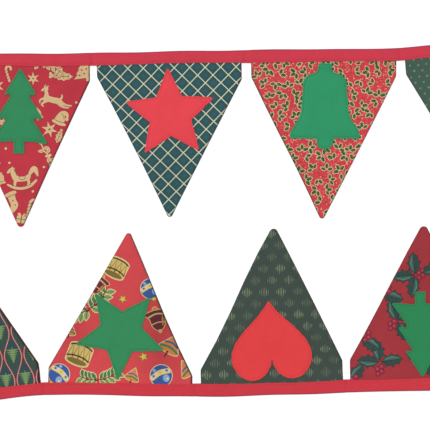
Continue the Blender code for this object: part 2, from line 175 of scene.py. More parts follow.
# The tape's middle line as arrays: its points, its directions, the way to the folded edge and the
# distance along it
tapeLine = np.array([tuple(p) for p in smoothLine(route, 1.0)])
tapeAlong = unit(np.gradient(tapeLine, axis=0))
tapeOut = -leftOf(tapeAlong)
tapeDistance = np.concatenate([[0], np.cumsum(np.linalg.norm(np.diff(tapeLine, axis=0), axis=1))])

# The plan is moved so that the tape fills its box in the frame
rim = np.concatenate([tapeLine + tapeOut * side * tapeSetup["width"] / 2 for side in (-1, 1)])
boxLow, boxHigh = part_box("tape")
planShift = Vector(((boxLow.x + boxHigh.x) / 2 / mm - (rim[:, 0].min() + rim[:, 0].max()) / 2,
                    (boxLow.y + boxHigh.y) / 2 / mm - (rim[:, 1].min() + rim[:, 1].max()) / 2))


def addCamera():
    data = bpy.data.cameras.new("camera")
    data.lens = cameraSetup["lens"]
    data.sensor_width = cameraSetup["sensor"]
    height = cameraSetup["pictureWidth"] * cameraSetup["lens"] / cameraSetup["sensor"]
    camera = bpy.data.objects.new("camera", data)
    camera.location = Vector((*planShift, height + cameraSetup["clothTop"])) * mm
    bpy.context.collection.objects.link(camera)
    bpy.context.scene.camera = camera


def addStudio():
    world = bpy.data.worlds.new("studio")
    world.use_nodes = True
    background = world.node_tree.nodes["Background"]
    background.inputs["Color"].default_value = (1.0, 1.0, 1.0, 1.0)
    background.inputs["Strength"].default_value = studio["sky"]
    bpy.context.scene.world = world
    sun = bpy.data.lights.new("softLamp", "SUN")
    sun.energy = studio["sun"]
    sun.angle = radians(studio["sunAngle"])
    lamp = bpy.data.objects.new("softLamp", sun)
    lamp.rotation_euler = Vector(studio["sunFrom"]).to_track_quat("Z", "Y").to_euler()
    bpy.context.collection.objects.link(lamp)
    half, depth = studio["floorSize"] / 2, studio["floorDepth"]
    mesh = bpy.data.meshes.new("floor")
    mesh.from_pydata([(x * half, y * half, -depth) for x, y in ((-1, -1), (1, -1), (1, 1), (-1, 1))],
                     [], [(0, 1, 2, 3)])
    floor = bpy.data.objects.new("floor", mesh)
    bpy.context.collection.objects.link(floor)
    # an opal table lit from below: even white, with next to no shadow on it
    opal = bpy.data.materials.new("opal acrylic sheet, lit from below")
    opal.use_nodes = True
    shader = opal.node_tree.nodes["Principled BSDF"]
    shader.inputs["Base Color"].default_value = linearColour(studio["floor"])
    shader.inputs["Roughness"].default_value = 0.9
    shader.inputs["Specular IOR Level"].default_value = 0.1
    shader.inputs["Emission Color"].default_value = (1.0, 1.0, 1.0, 1.0)
    shader.inputs["Emission Strength"].default_value = studio["floorGlow"]
    mesh.materials.append(opal)
    bpy.context.scene.view_settings.view_transform = "Standard"


addCamera()
addStudio()
print("camera and studio set")


# The nodes that every cloth starts from: its shader and places on the cloth in mm
def startCloth(name, look):
    material = bpy.data.materials.new(name)
    material.use_nodes = True
    tree = material.node_tree
    shader = tree.nodes["Principled BSDF"]
    shader.inputs["Roughness"].default_value = look["roughness"]
    shader.inputs["Specular IOR Level"].default_value = look["specular"]
    shader.inputs["Sheen Weight"].default_value = look["sheen"]
    shader.inputs["Sheen Roughness"].default_value = 0.5
    place = addNode(tree, "VectorMath", {"operation": "SCALE", "Scale": 1 / mm},
                    {0: addNode(tree, "TexCoord").outputs["Object"]})
    return material, tree, shader, place


# Plain-woven quilting cotton, printed or dyed: threads pass over and under each other, which the eye
# sees as a fine grain with dark gaps, given painted shade. The dye is a little uneven, the face
# matt, hardly a sheen.
# Threads lie 0.42 mm apart, about 60 to the inch, as in plain quilting cotton.
cottonLook = dict(thread=0.42, wave=0.6, gap=0.16, bump=0.5, roughness=0.86, specular=0.22,
                  sheen=0.05, mottle=0.10, mottleSize=16.0, slub=0.12, slubSize=1.4)


def cotton(name, turn=0.0, mottle=None, colour=None):
    look = cottonLook
    material, tree, shader, place = startCloth(name, look)
    grain = addNode(tree, "VectorRotate", {"rotation_type": "Z_AXIS", "Angle": radians(turn)},
                    {"Vector": place})
    phase = addNode(tree, "VectorMath", {"operation": "SCALE", "Scale": pi / look["thread"]},
                    {0: grain})
    across = addNode(tree, "SeparateXYZ", None, {0: phase})
    warp, weft = [addNode(tree, "Math", {"operation": "SINE"}, {0: across.outputs[k]})
                  for k in (0, 1)]
    over = addNode(tree, "Math", {"operation": "MULTIPLY"}, {0: warp, 1: weft})
    # a thread is round across and rises where it passes over, the other set where this one dips
    rounds = [addNode(tree, "Math", {"operation": "ABSOLUTE"}, {0: wave}) for wave in (warp, weft)]
    sets = [addNode(tree, "Math", {"operation": "MULTIPLY_ADD", 1: wave}, {0: over, 2: thick})
            for wave, thick in zip((look["wave"], -look["wave"]), rounds)]
    weave = addNode(tree, "Math", {"operation": "MAXIMUM"}, {0: sets[0], 1: sets[1]})
    cloudy, slubs = [addNode(tree, "TexNoise", {"Scale": 1 / size, "Detail": detail},
                             {"Vector": place})
                     for size, detail in ((look["mottleSize"], 3.0), (look["slubSize"], 2.0))]
    height = addNode(tree, "Math", {"operation": "MULTIPLY_ADD", 1: 0.5}, {0: weave, 2: slubs})
    relief = addNode(tree, "Bump", {"Strength": look["bump"], "Distance": 0.1 * mm},
                     {"Height": height})
    tree.links.new(relief.outputs[0], shader.inputs["Normal"])
    # the printed inks, with painted shade and painted light over them, are on the mesh, a cloth of
    # one colour is told it here
    dye = colour(tree) if colour else addNode(tree, "Attribute", {"attribute_name": "inkWithPaintedShade"})
    # clouds and slubs make the dye lighter and darker about its colour; painted shade darkens the
    # dips between threads
    clouds = look["mottle"] if mottle is None else mottle
    for source, spread, share in ((cloudy, clouds, 2), (slubs, look["slub"], 2),
                                  (weave, look["gap"], 1)):
        light = addNode(tree, "Math", {"operation": "MULTIPLY_ADD", 1: share * spread,
                                       2: 1 - spread}, {0: source})
        dye = addNode(tree, "VectorMath", {"operation": "SCALE"}, {0: dye, "Scale": light})
    tree.links.new(dye.outputs[0], shader.inputs["Base Color"])
    return material


# The tape is a plain red cotton strip; a line of painted shade darkens its folded edge, where the
# fold turns away from the light, and the lower stretch is a touch warmer than the upper one
def tapeCotton():
    look = tapeSetup

    def colour(tree):
        across = addNode(tree, "Attribute", {"attribute_name": "across"})
        # painted shade: the tape darkens towards its folded edge, where the fold turns away from the
        # light
        dark, full = look["foldShadeLine"]
        edge = addNode(tree, "MapRange", {"From Min": look["width"] - dark,
                                          "From Max": look["width"] - full},
                       {"Value": across.outputs["Fac"]})
        place = addNode(tree, "SeparateXYZ", None, {0: addNode(tree, "TexCoord").outputs["Object"]})
        change = look["colourChange"] * mm
        upper = addNode(tree, "MapRange", {"From Min": -change, "From Max": change},
                        {"Value": place.outputs[1]})
        cloth = addNode(tree, "Mix", {"data_type": "RGBA", 6: linearColour(look["paleColour"]),
                                      7: linearColour(look["colour"])}, {0: upper})
        return addNode(tree, "Mix", {"data_type": "RGBA", 7: linearColour(look["foldShadeColour"])},
                       {0: edge, 6: cloth})

    return cotton("cotton bias strip, plain weave, folded and pressed", turn=45.0, mottle=0.06,
                  colour=colour)


# Craft felt: pressed acrylic and wool fibres with no weave, so the face is a soft tangle, matt,
# with a slight sheen where fibres stand up.
feltLook = dict(fibre=1.1,  # fibres are 0.03 mm thick, drawn as tufts of 1.1 mm so that they show
                bump=0.9, roughness=0.95, specular=0.12, sheen=0.22, mottle=0.13, clouds=19.0)


def felt(name, colour):
    look = feltLook
    material, tree, shader, place = startCloth(name, look)
    tangle = addNode(tree, "TexNoise", {"Scale": 1 / look["fibre"], "Detail": 6.0,
                                        "Roughness": 0.7, "Distortion": 1.6}, {"Vector": place})
    relief = addNode(tree, "Bump", {"Strength": look["bump"], "Distance": 0.4 * mm},
                     {"Height": tangle})
    tree.links.new(relief.outputs[0], shader.inputs["Normal"])
    clouds = addNode(tree, "TexNoise", {"Scale": 1 / look["clouds"], "Detail": 2.0},
                     {"Vector": place})
    light = addNode(tree, "Math", {"operation": "MULTIPLY_ADD", 1: 2 * look["mottle"],
                                   2: 1 - 2 * look["mottle"]}, {0: tangle})
    light = addNode(tree, "Math", {"operation": "MULTIPLY_ADD", 1: look["mottle"]},
                    {0: clouds, 2: light})
    dyed = addNode(tree, "VectorMath", {"operation": "SCALE", 0: linearColour(colour)[:3]},
                   {"Scale": light})
    tree.links.new(dyed.outputs[0], shader.inputs["Base Color"])
    return material


# Spun polyester sewing thread: fine, slightly glossy, with the turns of its twist across it
threadLook = dict(roughness=0.55, specular=0.4, sheen=0.1, twist=1.2, bump=0.4, darker=0.72)


def thread(name, colour):
    material, tree, shader, place = startCloth(name, threadLook)
    twist = addNode(tree, "TexWave", {"Scale": threadLook["twist"], "Distortion": 1.0},
                    {"Vector": place})
    relief = addNode(tree, "Bump", {"Strength": threadLook["bump"], "Distance": 0.05 * mm},
                     {"Height": twist})
    tree.links.new(relief.outputs[0], shader.inputs["Normal"])
    shader.inputs["Base Color"].default_value = linearColour(colour)
    return material


# Heights of the layers in mm above what they lie on. The two panels meet in the rolled seam.
layers = dict(panel=0.6, backEdge=(0.55, 1.1), frontTop=2.3, frontEdge=(1.15, 1.62), roll=1.7,
              ridge=0.3, ridgeFrom=(0.2, 1.2), ridgeTo=(5.0, 7.5), ridgeUneven=0.25,
              pucker=0.14, puckerFade=5.0, puckerLengths=(6, 15),
              wave=0.42, waveLengths=(34, 90), waveFrom=(12, 30),
              felt=1.1, feltLift=0.04, feltRound=0.45, feltLump=0.07, feltLumps=(3, 9))
tuck = 9.0  # how far a pennant reaches into the tape
drop = dict(start=2.5, end=14.0, height=1.3)  # a pennant comes down from the tape to the table


def smoothStep(x, low, high):
    t = np.clip((x - low) / (high - low), 0, 1)
    return t * t * (3 - 2 * t)


# Soft unevenness as a sum of a few waves in all directions, about 0 with a spread of 1
def unevenness(points, seed, shortest, longest, count=9):
    rng = Random(seed)
    total = np.zeros(len(points))
    for k in range(count):
        length = shortest * (longest / shortest) ** rng.random()
        angle = rng.uniform(0, pi)
        along = points[:, 0] * cos(angle) + points[:, 1] * sin(angle)
        total += np.sin(along * 2 * pi / length + rng.uniform(0, 2 * pi))
    return total / sqrt(count / 2)


# How far the layers of a pennant stand above the table at points (u, v)
def lift(name, points):
    u, v = points[:, 0], points[:, 1]
    height = drop["height"] * (1 - smoothStep(v, drop["start"], drop["end"]))
    grow = smoothStep(v, *layers["waveFrom"])
    soft = 0.5 + 0.35 * unevenness(points, name + " lie", *layers["waveLengths"])
    height = height + layers["wave"] * np.clip(soft, 0, 1.4) * grow
    for u0, v0, u1, v1, spread, high in folds[name]:
        ridge = np.array([u1 - u0, v1 - v0], float)
        along = np.clip(((u - u0) * ridge[0] + (v - v0) * ridge[1]) / (ridge @ ridge), 0, 1)
        away = np.hypot(u - u0 - ridge[0] * along, v - v0 - ridge[1] * along) / spread
        height = height + high * np.exp(-away * away) * grow
    return height


# How far an edge is rolled over: 0 where the cloth is flat, 1 at the edge itself
def rollAt(edge, reach):
    turned = np.clip(1 - edge / reach, 0, 1)
    return 1 - np.sqrt(1 - turned * turned)


# A closed outline whose corners, given as (u, v, radius), are turned into arcs
def rounded(corners, steps=6):
    outline = []
    for i, (u, v, radius) in enumerate(corners):
        corner = Vector((u, v))
        before = (Vector(corners[i - 1][:2]) - corner).normalized()
        after = (Vector(corners[(i + 1) % len(corners)][:2]) - corner).normalized()
        half = before.angle(after) / 2
        if radius == 0 or half > radians(88):
            outline.append(tuple(corner))
            continue
        centre = corner + (before + after).normalized() * radius / sin(half)
        first = corner + before * radius / tan(half) - centre
        last = corner + after * radius / tan(half) - centre
        turn = first.angle_signed(last)
        for k in range(steps + 1):
            angle = -turn * k / steps
            outline.append((centre.x + first.x * cos(angle) - first.y * sin(angle),
                            centre.y + first.x * sin(angle) + first.y * cos(angle)))
    return outline


# The outline of one panel, from the tucked edge's +u end down round the tip and back up
def pennantOutline(pennant, peek=(0.0, 0.0)):
    halfWidth = pennant["width"] / 2
    taper = atan(halfWidth / (pennant["length"] - sum(pennant["cheek"]) / 2))
    apexU = pennant["lean"] + (peek[1] - peek[0]) / 2
    apexV = pennant["length"] + pennant["tip"] * (1 / sin(taper) - 1)
    sides = []
    for k, sign in enumerate((-1, 1)):
        edge = sign * (halfWidth + peek[k])
        cheek = pennant["cheek"][k]
        side = [(edge, -tuck, 0.0), (edge, cheek, 7.0)]
        for t in (0.2, 0.4, 0.6, 0.8):
            bulge = pennant["bow"][k] * 4 * t * (1 - t) + pennant["sway"][k] * sin(2 * pi * t)
            side.append((edge + (apexU - edge) * t + sign * bulge, cheek + (apexV - cheek) * t, 0.0))
        sides.append(side)
    return rounded(sides[1] + [(apexU, apexV, pennant["tip"])] + sides[0][::-1])


# Points about a step apart along a line, its corners kept
def evenly(line, step, closed=True):
    spread = []
    ends = line[1:] + line[:1] if closed else line[1:]
    for (x0, y0), (x1, y1) in zip(line, ends):
        count = max(1, ceil(sqrt((x1 - x0) ** 2 + (y1 - y0) ** 2) / step))
        spread += [(x0 + (x1 - x0) * k / count, y0 + (y1 - y0) * k / count) for k in range(count)]
    return spread if closed else spread + [line[-1]]


# How far points lie from a line through given corners
def distanceTo(points, line, closed=False):
    starts = np.array(line if closed else line[:-1], float)
    steps = np.roll(np.array(line, float), -1, 0)[:len(starts)] - starts
    lengths = np.maximum((steps ** 2).sum(1), 1e-12)
    nearest = np.full(len(points), np.inf)
    for start, step, length in zip(starts, steps, lengths):
        away = points - start
        along = np.clip(away @ step / length, 0, 1)
        away = away - along[:, None] * step
        nearest = np.minimum(nearest, (away ** 2).sum(1))
    return np.sqrt(nearest)


# Whether points lie inside an outline that runs counter-clockwise and may overlap itself
def insideOf(points, outline):
    turns = np.zeros(len(points), int)
    for (x0, y0), (x1, y1) in zip(outline, outline[1:] + outline[:1]):
        if y0 == y1:
            continue
        crosses = (points[:, 1] > min(y0, y1)) & (points[:, 1] <= max(y0, y1))
        crosses &= points[:, 0] < x0 + (points[:, 1] - y0) * (x1 - x0) / (y1 - y0)
        turns += crosses * (1 if y1 > y0 else -1)
    return turns > 0


# The last of the loops round each point, loop 0 being round them all
def lastAround(points, loops):
    last = np.zeros(len(points), int)
    order = np.argsort(points[:, 0])
    ordered = points[order]
    for k, loop in enumerate(loops[1:], 1):
        low, high = np.min(loop, 0), np.max(loop, 0)
        first, end = np.searchsorted(ordered[:, 0], (low[0], high[0]))
        near = order[first:end]
        near = near[(points[near, 1] > low[1]) & (points[near, 1] < high[1])]
        last[near[insideOf(points[near], loop)]] = k
    return last


# Area inside a loop, below 0 for one that runs clockwise
def area(loop):
    return sum(a[0] * b[1] - b[0] * a[1] for a, b in zip(loop, loop[1:] + loop[:1])) / 2


# Steps in mm between the points of a cloth's rim, rows and lines, how much of them is kept, the
# grid of each kind of sheet, and from how many degrees on a bend is sharp
cut = dict(rim=2.4, rowClear=0.93, rowHeight=0.87, seen=4.0, line=0.9, lineKept=6, nearRim=3.4,
           front=3.2, back=3.6, felt=2.4, sharp=52)


# A printed loop with more corners where it meets the turned edge, so that it bends with the cloth
def bendable(loop, rim):
    fine, own = [], []
    for ends in zip(loop, loop[1:] + loop[:1]):
        line = evenly(list(ends), cut["line"], closed=False)[:-1]
        fine += line
        own += [k % cut["lineKept"] == 0 for k in range(len(line))]
    if len(fine) == len(loop):
        return loop
    near = distanceTo(np.array(fine), rim, True) < cut["nearRim"]
    return [spot for spot, corner, close in zip(fine, own, near) if corner or close]


# Plan points of a sheet: rows along its edge, so that the edge can turn over smoothly, and a grid
# of even triangles inside them
def sheetPoints(rim, outline, rows, spacing):
    edge = np.array(rim)
    along = unit(np.roll(edge, -1, 0) - edge) + unit(edge - np.roll(edge, 1, 0))
    inward = unit(leftOf(along), 0.2)
    spots = []
    for row in rows:
        spot = edge + inward * row
        spots.append(spot[distanceTo(spot, rim, True) > row * cut["rowClear"]])
    low, high = edge.min(0), edge.max(0)
    across, down = np.meshgrid(np.arange(low[0], high[0], spacing),
                               np.arange(low[1], high[1], spacing * cut["rowHeight"]))
    across[1::2] += spacing / 2
    grid = np.stack([across.ravel(), down.ravel()], 1)
    grid = grid[insideOf(grid, outline)]
    spots.append(grid[distanceTo(grid, rim, True) > rows[-1] + spacing * 0.5])
    return np.concatenate(spots)


# A closed sheet of cloth cut to an outline. Inks are loops printed on the upper face, later ones
# over earlier ones, and shade gives the painted shade and painted light over the inks at points of
# the plan.
def sheetMesh(name, outline, rows, spacing, heights, ground, inks=(), shade=None):
    if area(outline) < 0:
        outline = outline[::-1]
    rim = evenly(outline, cut["rim"])
    loops, colours = [rim], [ground]
    for loop, colour in inks:
        if insideOf(np.array(evenly(list(loop), cut["seen"])), outline).any():
            loops.append(bendable(list(loop) if area(loop) > 0 else list(loop)[::-1], rim))
            colours.append(colour)
    points, faces = [], []
    for loop in loops:
        faces.append(list(range(len(points), len(points) + len(loop))))
        points += [Vector(p) for p in loop]
    points += [Vector(p) for p in sheetPoints(rim, outline, rows, spacing)]
    corners, _, triangles, _, _, parts = delaunay_2d_cdt(points, [], faces, 1, 1e-4, True)
    kept = [t for t, part in zip(triangles, parts) if 0 in part]
    used = sorted({i for t in kept for i in t})
    place = {i: k for k, i in enumerate(used)}
    flat = np.array([tuple(corners[i]) for i in used])
    kept = [tuple(place[i] for i in t) for t in kept]
    bottom, top = heights(flat)
    count = len(used)
    sides = {}
    polygons, paint = [], []
    for (a, b, c), part in zip(kept, lastAround(flat[np.array(kept)].mean(1), loops)):
        polygons += [(a + count, b + count, c + count), (c, b, a)]
        paint += [colours[part], ground]
        for pair in ((a, b), (b, c), (c, a)):
            sides[pair] = colours[part]
    for (a, b), colour in sides.items():
        if (b, a) not in sides:
            polygons.append((a, b, b + count, a + count))
            paint.append(colour)
    height = np.concatenate([bottom, top])
    solid = np.concatenate([np.tile(flat, (2, 1)), height[:, None]], 1) * mm
    mesh = bpy.data.meshes.new(name)
    mesh.from_pydata(solid.tolist(), [], polygons)
    # tone is the painted shade and painted light that darkens or lightens the ink colours
    tone = np.ones(2 * count) if shade is None else np.tile(shade(flat), 2)
    linear = {colour: linearColour(colour)[:3] for colour in set(paint)}
    values = []
    for polygon, colour in zip(polygons, paint):
        for corner in polygon:
            values += [c * tone[corner] for c in linear[colour]] + [1.0]
    mesh.color_attributes.new("inkWithPaintedShade", "FLOAT_COLOR", "CORNER").data.foreach_set("color", values)
    mesh.shade_smooth()
    mesh.set_sharp_from_angle(angle=radians(cut["sharp"]))
    mesh.update()
    return mesh


# A piece of the bunting; replaced is the solid that it stands for
def addPiece(name, mesh, material, replaced=None, pennant=None):
    mesh.materials.append(material)
    piece = bpy.data.objects.new(name, mesh)
    bpy.context.collection.objects.link(piece)
    place = planShift.copy()
    if pennant:
        place += Vector((pennant["x"], pennant["y"]))
        piece.rotation_euler = (0.0, 0.0, radians(pennant["turn"]))
    piece.location = (place.x * mm, place.y * mm, 0.0)
    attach(piece, "root")
    if replaced:
        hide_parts(replaced)
    return piece


# The finished edge of a panel is its outline without the tucked top
def finishedEdge(outline):
    start = min(range(len(outline)), key=lambda i: (outline[i][1], -outline[i][0]))
    return outline[start:] + outline[:start]


# Heights of a panel's underside and upper face: a front has a ridge of turned-in cloth and small
# puckers along its seam
def panelHeights(pennant, outline, front, points):
    name, thick = pennant["name"], layers["panel"]
    edge = distanceTo(points, finishedEdge(outline))
    base = lift(name, points)
    roll = rollAt(edge, layers["roll"])
    if not front:
        low, high = layers["backEdge"]
        return base + low * roll, base + thick + (high - thick) * roll
    low, high = layers["frontEdge"]
    top = layers["frontTop"]
    uneven = unevenness(points, name + " seam", *layers["puckerLengths"])
    ridge = smoothStep(edge, *layers["ridgeFrom"]) - smoothStep(edge, *layers["ridgeTo"])
    ridge = layers["ridge"] * ridge * (1 + layers["ridgeUneven"] * uneven)
    pucker = layers["pucker"] * uneven * np.exp(-edge / layers["puckerFade"]) * (1 - roll)
    bottom = base + top - thick - (top - thick - low) * roll
    return bottom, base + top - (top - high) * roll + ridge + pucker


# Small drawings that the prints are made of, in mm. A drawing is a list of (loop, colour).
def disc(x, y, radius, count=16, squeeze=1.0):
    return [(x + radius * cos(2 * pi * k / count), y + radius * squeeze * sin(2 * pi * k / count))
            for k in range(count)]


def starLoop(x, y, outer, inner, points=5):
    rays = [(inner if k % 2 else outer, pi / 2 + pi * k / points) for k in range(2 * points)]
    return [(x + reach * cos(angle), y + reach * sin(angle)) for reach, angle in rays]


# A smooth curve through points, open or closed
def through(points, steps=4, closed=False):
    count = len(points)
    curve = []
    for i in range(count if closed else count - 1):
        if closed:
            p = [points[(i + k) % count] for k in (-1, 0, 1, 2)]
        else:
            p = [points[max(0, min(count - 1, i + k))] for k in (-1, 0, 1, 2)]
        for k in range(steps):
            t = k / steps
            curve.append(tuple(0.5 * (2 * b + (c - a) * t + (2 * a - 5 * b + 4 * c - d) * t * t
                                      + (3 * b - a - 3 * c + d) * t ** 3)
                               for a, b, c, d in zip(*p)))
    return curve if closed else curve + [tuple(points[-1])]


# A strip along a line, as wide as given at each of its points
def strip(line, widths, steps=4):
    if not isinstance(widths, (list, tuple)):
        widths = [widths] * len(line)
    path = through([(x, y, w) for (x, y), w in zip(line, widths)], steps)
    for end, inner in ((0, 1), (-1, -2)):
        (x0, y0, w), (x1, y1, _) = path[end], path[inner]
        reach = w / max(sqrt((x0 - x1) ** 2 + (y0 - y1) ** 2), 1e-6)
        for far, share in ((0.28, 0.8), (0.46, 0.3)):  # a round end
            cap = (x0 + (x0 - x1) * reach * far, y0 + (y0 - y1) * reach * far, w * share)
            path.insert(0 if end == 0 else len(path), cap)
    left, right = [], []
    for i, (x, y, w) in enumerate(path):
        dx = path[min(i + 1, len(path) - 1)][0] - path[max(i - 1, 0)][0]
        dy = path[min(i + 1, len(path) - 1)][1] - path[max(i - 1, 0)][1]
        reach = w / 2 / max(sqrt(dx * dx + dy * dy), 1e-6)
        left.append((x - dy * reach, y + dx * reach))
        right.append((x + dy * reach, y - dx * reach))
    return right + left[::-1]


# A loop made larger all round, for a rim or an outline under it
def grown(loop, width):
    if area(list(loop)) < 0:
        loop = loop[::-1]
    wider = []
    for i, (x, y) in enumerate(loop):
        a, b = Vector(loop[i - 1]), Vector(loop[(i + 1) % len(loop)])
        before = (Vector((x, y)) - a).normalized()
        after = (b - Vector((x, y))).normalized()
        out = Vector((before.y + after.y, -before.x - after.x))
        length = max(out.length, 0.9)
        wider.append((x + out.x * 2 * width / length ** 2, y + out.y * 2 * width / length ** 2))
    return wider


# One part of a drawing: (x, y, radius) is a disc, points (x, y) are a smooth loop, and points
# (x, y, width) are a strip
def drawn(part):
    if not isinstance(part[0], (list, tuple)):
        return disc(*part)
    if len(part[0]) == 2:
        return through(part, closed=True)
    return strip([spot[:2] for spot in part], [spot[2] for spot in part], 1 if len(part) == 2 else 4)


# The middles of a print's repeat: every other row is moved on by half a pitch
def repeat(at, pitch, row, columns, rows):
    return [(at[0] + (i + 0.5 * (j % 2)) * pitch, at[1] + j * row) for j in rows for i in columns]


# Loops in one colour, with borders of (colour, width) round them, the widest first
def bordered(loops, colour, *borders):
    edges = [(grown(loop, width), edge) for edge, width in borders for loop in loops]
    return edges + [(loop, colour) for loop in loops]


# Turn a drawing by an angle, scale it and set it down at (u, v). Upright as hung is 180 degrees,
# and a scale below 0 mirrors it.
def placed(drawing, u, v, turn=180.0, scale=1.0):
    flip = 1 if scale > 0 else -1
    c, s = cos(radians(turn)) * abs(scale), sin(radians(turn)) * abs(scale)
    return [([(u + x * flip * c - y * s, v + x * flip * s + y * c) for x, y in loop], colour)
            for loop, colour in drawing]


# Rows of a drawing, u, v, turn and scale
def scattered(rows):
    return [part for drawing, *place in rows for part in placed(drawing, *place)]


# A holly leaf from its stalk at (0, 0) to its tip, with as many spikes on each side. Its edge
# hangs in an arc from spike to spike, down to a share of the leaf's width.
def hollyLeaf(length, width, spikes, depth, steps=4):
    sides = []
    for sign in (1, -1):
        points = [(0.0, 0.0)]
        for k in range(spikes):
            t = (k + 0.82) / (spikes + 0.5)
            points.append((length * t, sign * sin(pi * (0.12 + 0.8 * t)) * width / 2))
        points.append((length, 0.0))
        side = []
        for (x0, y0), (x1, y1) in zip(points, points[1:]):
            middle = (x0 + x1) / 2
            low = sign * sin(pi * (0.12 + 0.8 * middle / length)) * width / 2 * (2 * depth - 1)
            for m in range(steps):
                t = m / steps
                side.append((x0 * (1 - t) ** 2 + 2 * middle * t * (1 - t) + x1 * t * t,
                             y0 * (1 - t) ** 2 + 2 * low * t * (1 - t) + y1 * t * t))
        sides.append(side)
    return sides[0] + [(length, 0.0)] + sides[1][:0:-1]


# Fir tree standing on its trunk's foot at (0, 0), branches in tiers from the ground up
def firTree(width, height, tiers):
    trunk, droop, cutIn = 0.1, 0.12, 0.68
    right = [(width * 0.05, 0.0), (width * 0.05, height * trunk)]
    rise = height * (1 - trunk)
    for k in range(tiers):
        low = height * trunk + rise * k / tiers
        reach = width / 2 * (1 - k / tiers) ** 0.9
        right += [(reach, low - height * droop * 0.4), (reach * cutIn, low + rise / tiers * 0.75)]
    return right + [(0.0, height)] + [(-x, y) for x, y in reversed(right)]


# Dark green cotton with a pale slanting lattice, a knot where lines cross and a small blue square
# in each gap
def latticePrint():
    look = dict(cross=(63.3, 4.3), gap=12.2, line=1.2, shadow=2.7, heart=5.6, core=3.08, knot=0.95)
    colours = dict(ground="#305455", shadow="#2f473a", line="#c3ccb8", knot="#dccfa8",
                   heart="#2e5861", core="#305d69")
    rng = Random("lattice")
    root = sqrt(0.5)
    u, v = look["cross"]
    first = ((u + v) * root, (u - v) * root)
    far = 190.0

    def bar(k, axis, width):
        at = first[axis] + k * look["gap"]
        ends = [(at - width / 2, -far), (at + width / 2, -far), (at + width / 2, far),
                (at - width / 2, far)]
        if axis:
            ends = [(b, a) for a, b in ends]
        return [((a + b) * root, (a - b) * root) for a, b in ends]

    span = range(-16, 12)
    knots = [(first[0] + i * look["gap"], first[1] + j * look["gap"]) for i in span for j in span]
    inks = [(bar(k, axis, look["shadow"]), colours["shadow"]) for axis in (0, 1) for k in span]
    for a, b in knots:
        for size, colour in ((look["heart"], "heart"), (look["core"], "core")):
            half = size / 2 * rng.uniform(0.85, 1.1)
            middle = (a + look["gap"] / 2 + rng.uniform(-0.5, 0.5), b + look["gap"] / 2)
            square = rounded([(middle[0] + p * half, middle[1] + q * half, half * 0.6)
                              for p, q in ((1, 1), (1, -1), (-1, -1), (-1, 1))], 2)
            inks.append(([((p + q) * root, (p - q) * root) for p, q in square], colours[colour]))
    inks += [(bar(k, axis, look["line"]), colours["line"]) for axis in (0, 1) for k in span]
    inks += [(disc((a + b) * root, (a - b) * root, look["knot"], 10), colours["knot"])
             for a, b in knots]
    return colours["ground"], inks


# Dark green cotton with rows of pale dots
def dotPrint():
    look = dict(at=(65.9, 6.9), pitch=9.3, row=6.5, radius=1.15)
    colours = dict(ground="#435d4f", dot="#71897a", rim="#4d6757")
    rng = Random("dot")
    inks = []
    for u, v in repeat(look["at"], look["pitch"], look["row"], range(-18, 4), range(-3, 30)):
        u += rng.uniform(-0.3, 0.3)
        v += rng.uniform(-0.3, 0.3)
        size = look["radius"] * rng.uniform(0.85, 1.1)
        inks += [(disc(u, v, size * 1.35, 12), colours["rim"]),
                 (disc(u, v, size, 12), colours["dot"])]
    return colours["ground"], inks


# Dark green cotton with diamonds of thin gold dashes
def dashPrint():
    look = dict(at=(3.5, 139.7), pitch=19.0, row=13.0, step=1.9, width=0.54, tall=10.2)
    inkColours = ("#66725a", "#7c866c", "#98a07e")
    rng = Random("dash")
    inks = []
    ends = look["width"] * 0.5
    for u, v in repeat(look["at"], look["pitch"], look["row"], range(-6, 6), range(-13, 5)):
        bright = rng.choice((0, 0, 0, 1, 1, 2))  # the gold ink has taken unevenly
        for k in (-2.5, -1.5, -0.5, 0.5, 1.5, 2.5):
            tall = look["tall"] * (1.1 - abs(k) / 3.6) * rng.uniform(0.8, 1.1)
            x = u + k * look["step"] + rng.uniform(-0.12, 0.12)
            y = v + rng.uniform(-0.4, 0.4)
            colour = inkColours[min(2, bright + rng.choice((0, 0, 1)))]
            inks.append((strip([(x, y - tall / 2), (x, y), (x, y + tall / 2)],
                               [ends, look["width"], ends], 1), colour))
    return "#3d4b43", inks


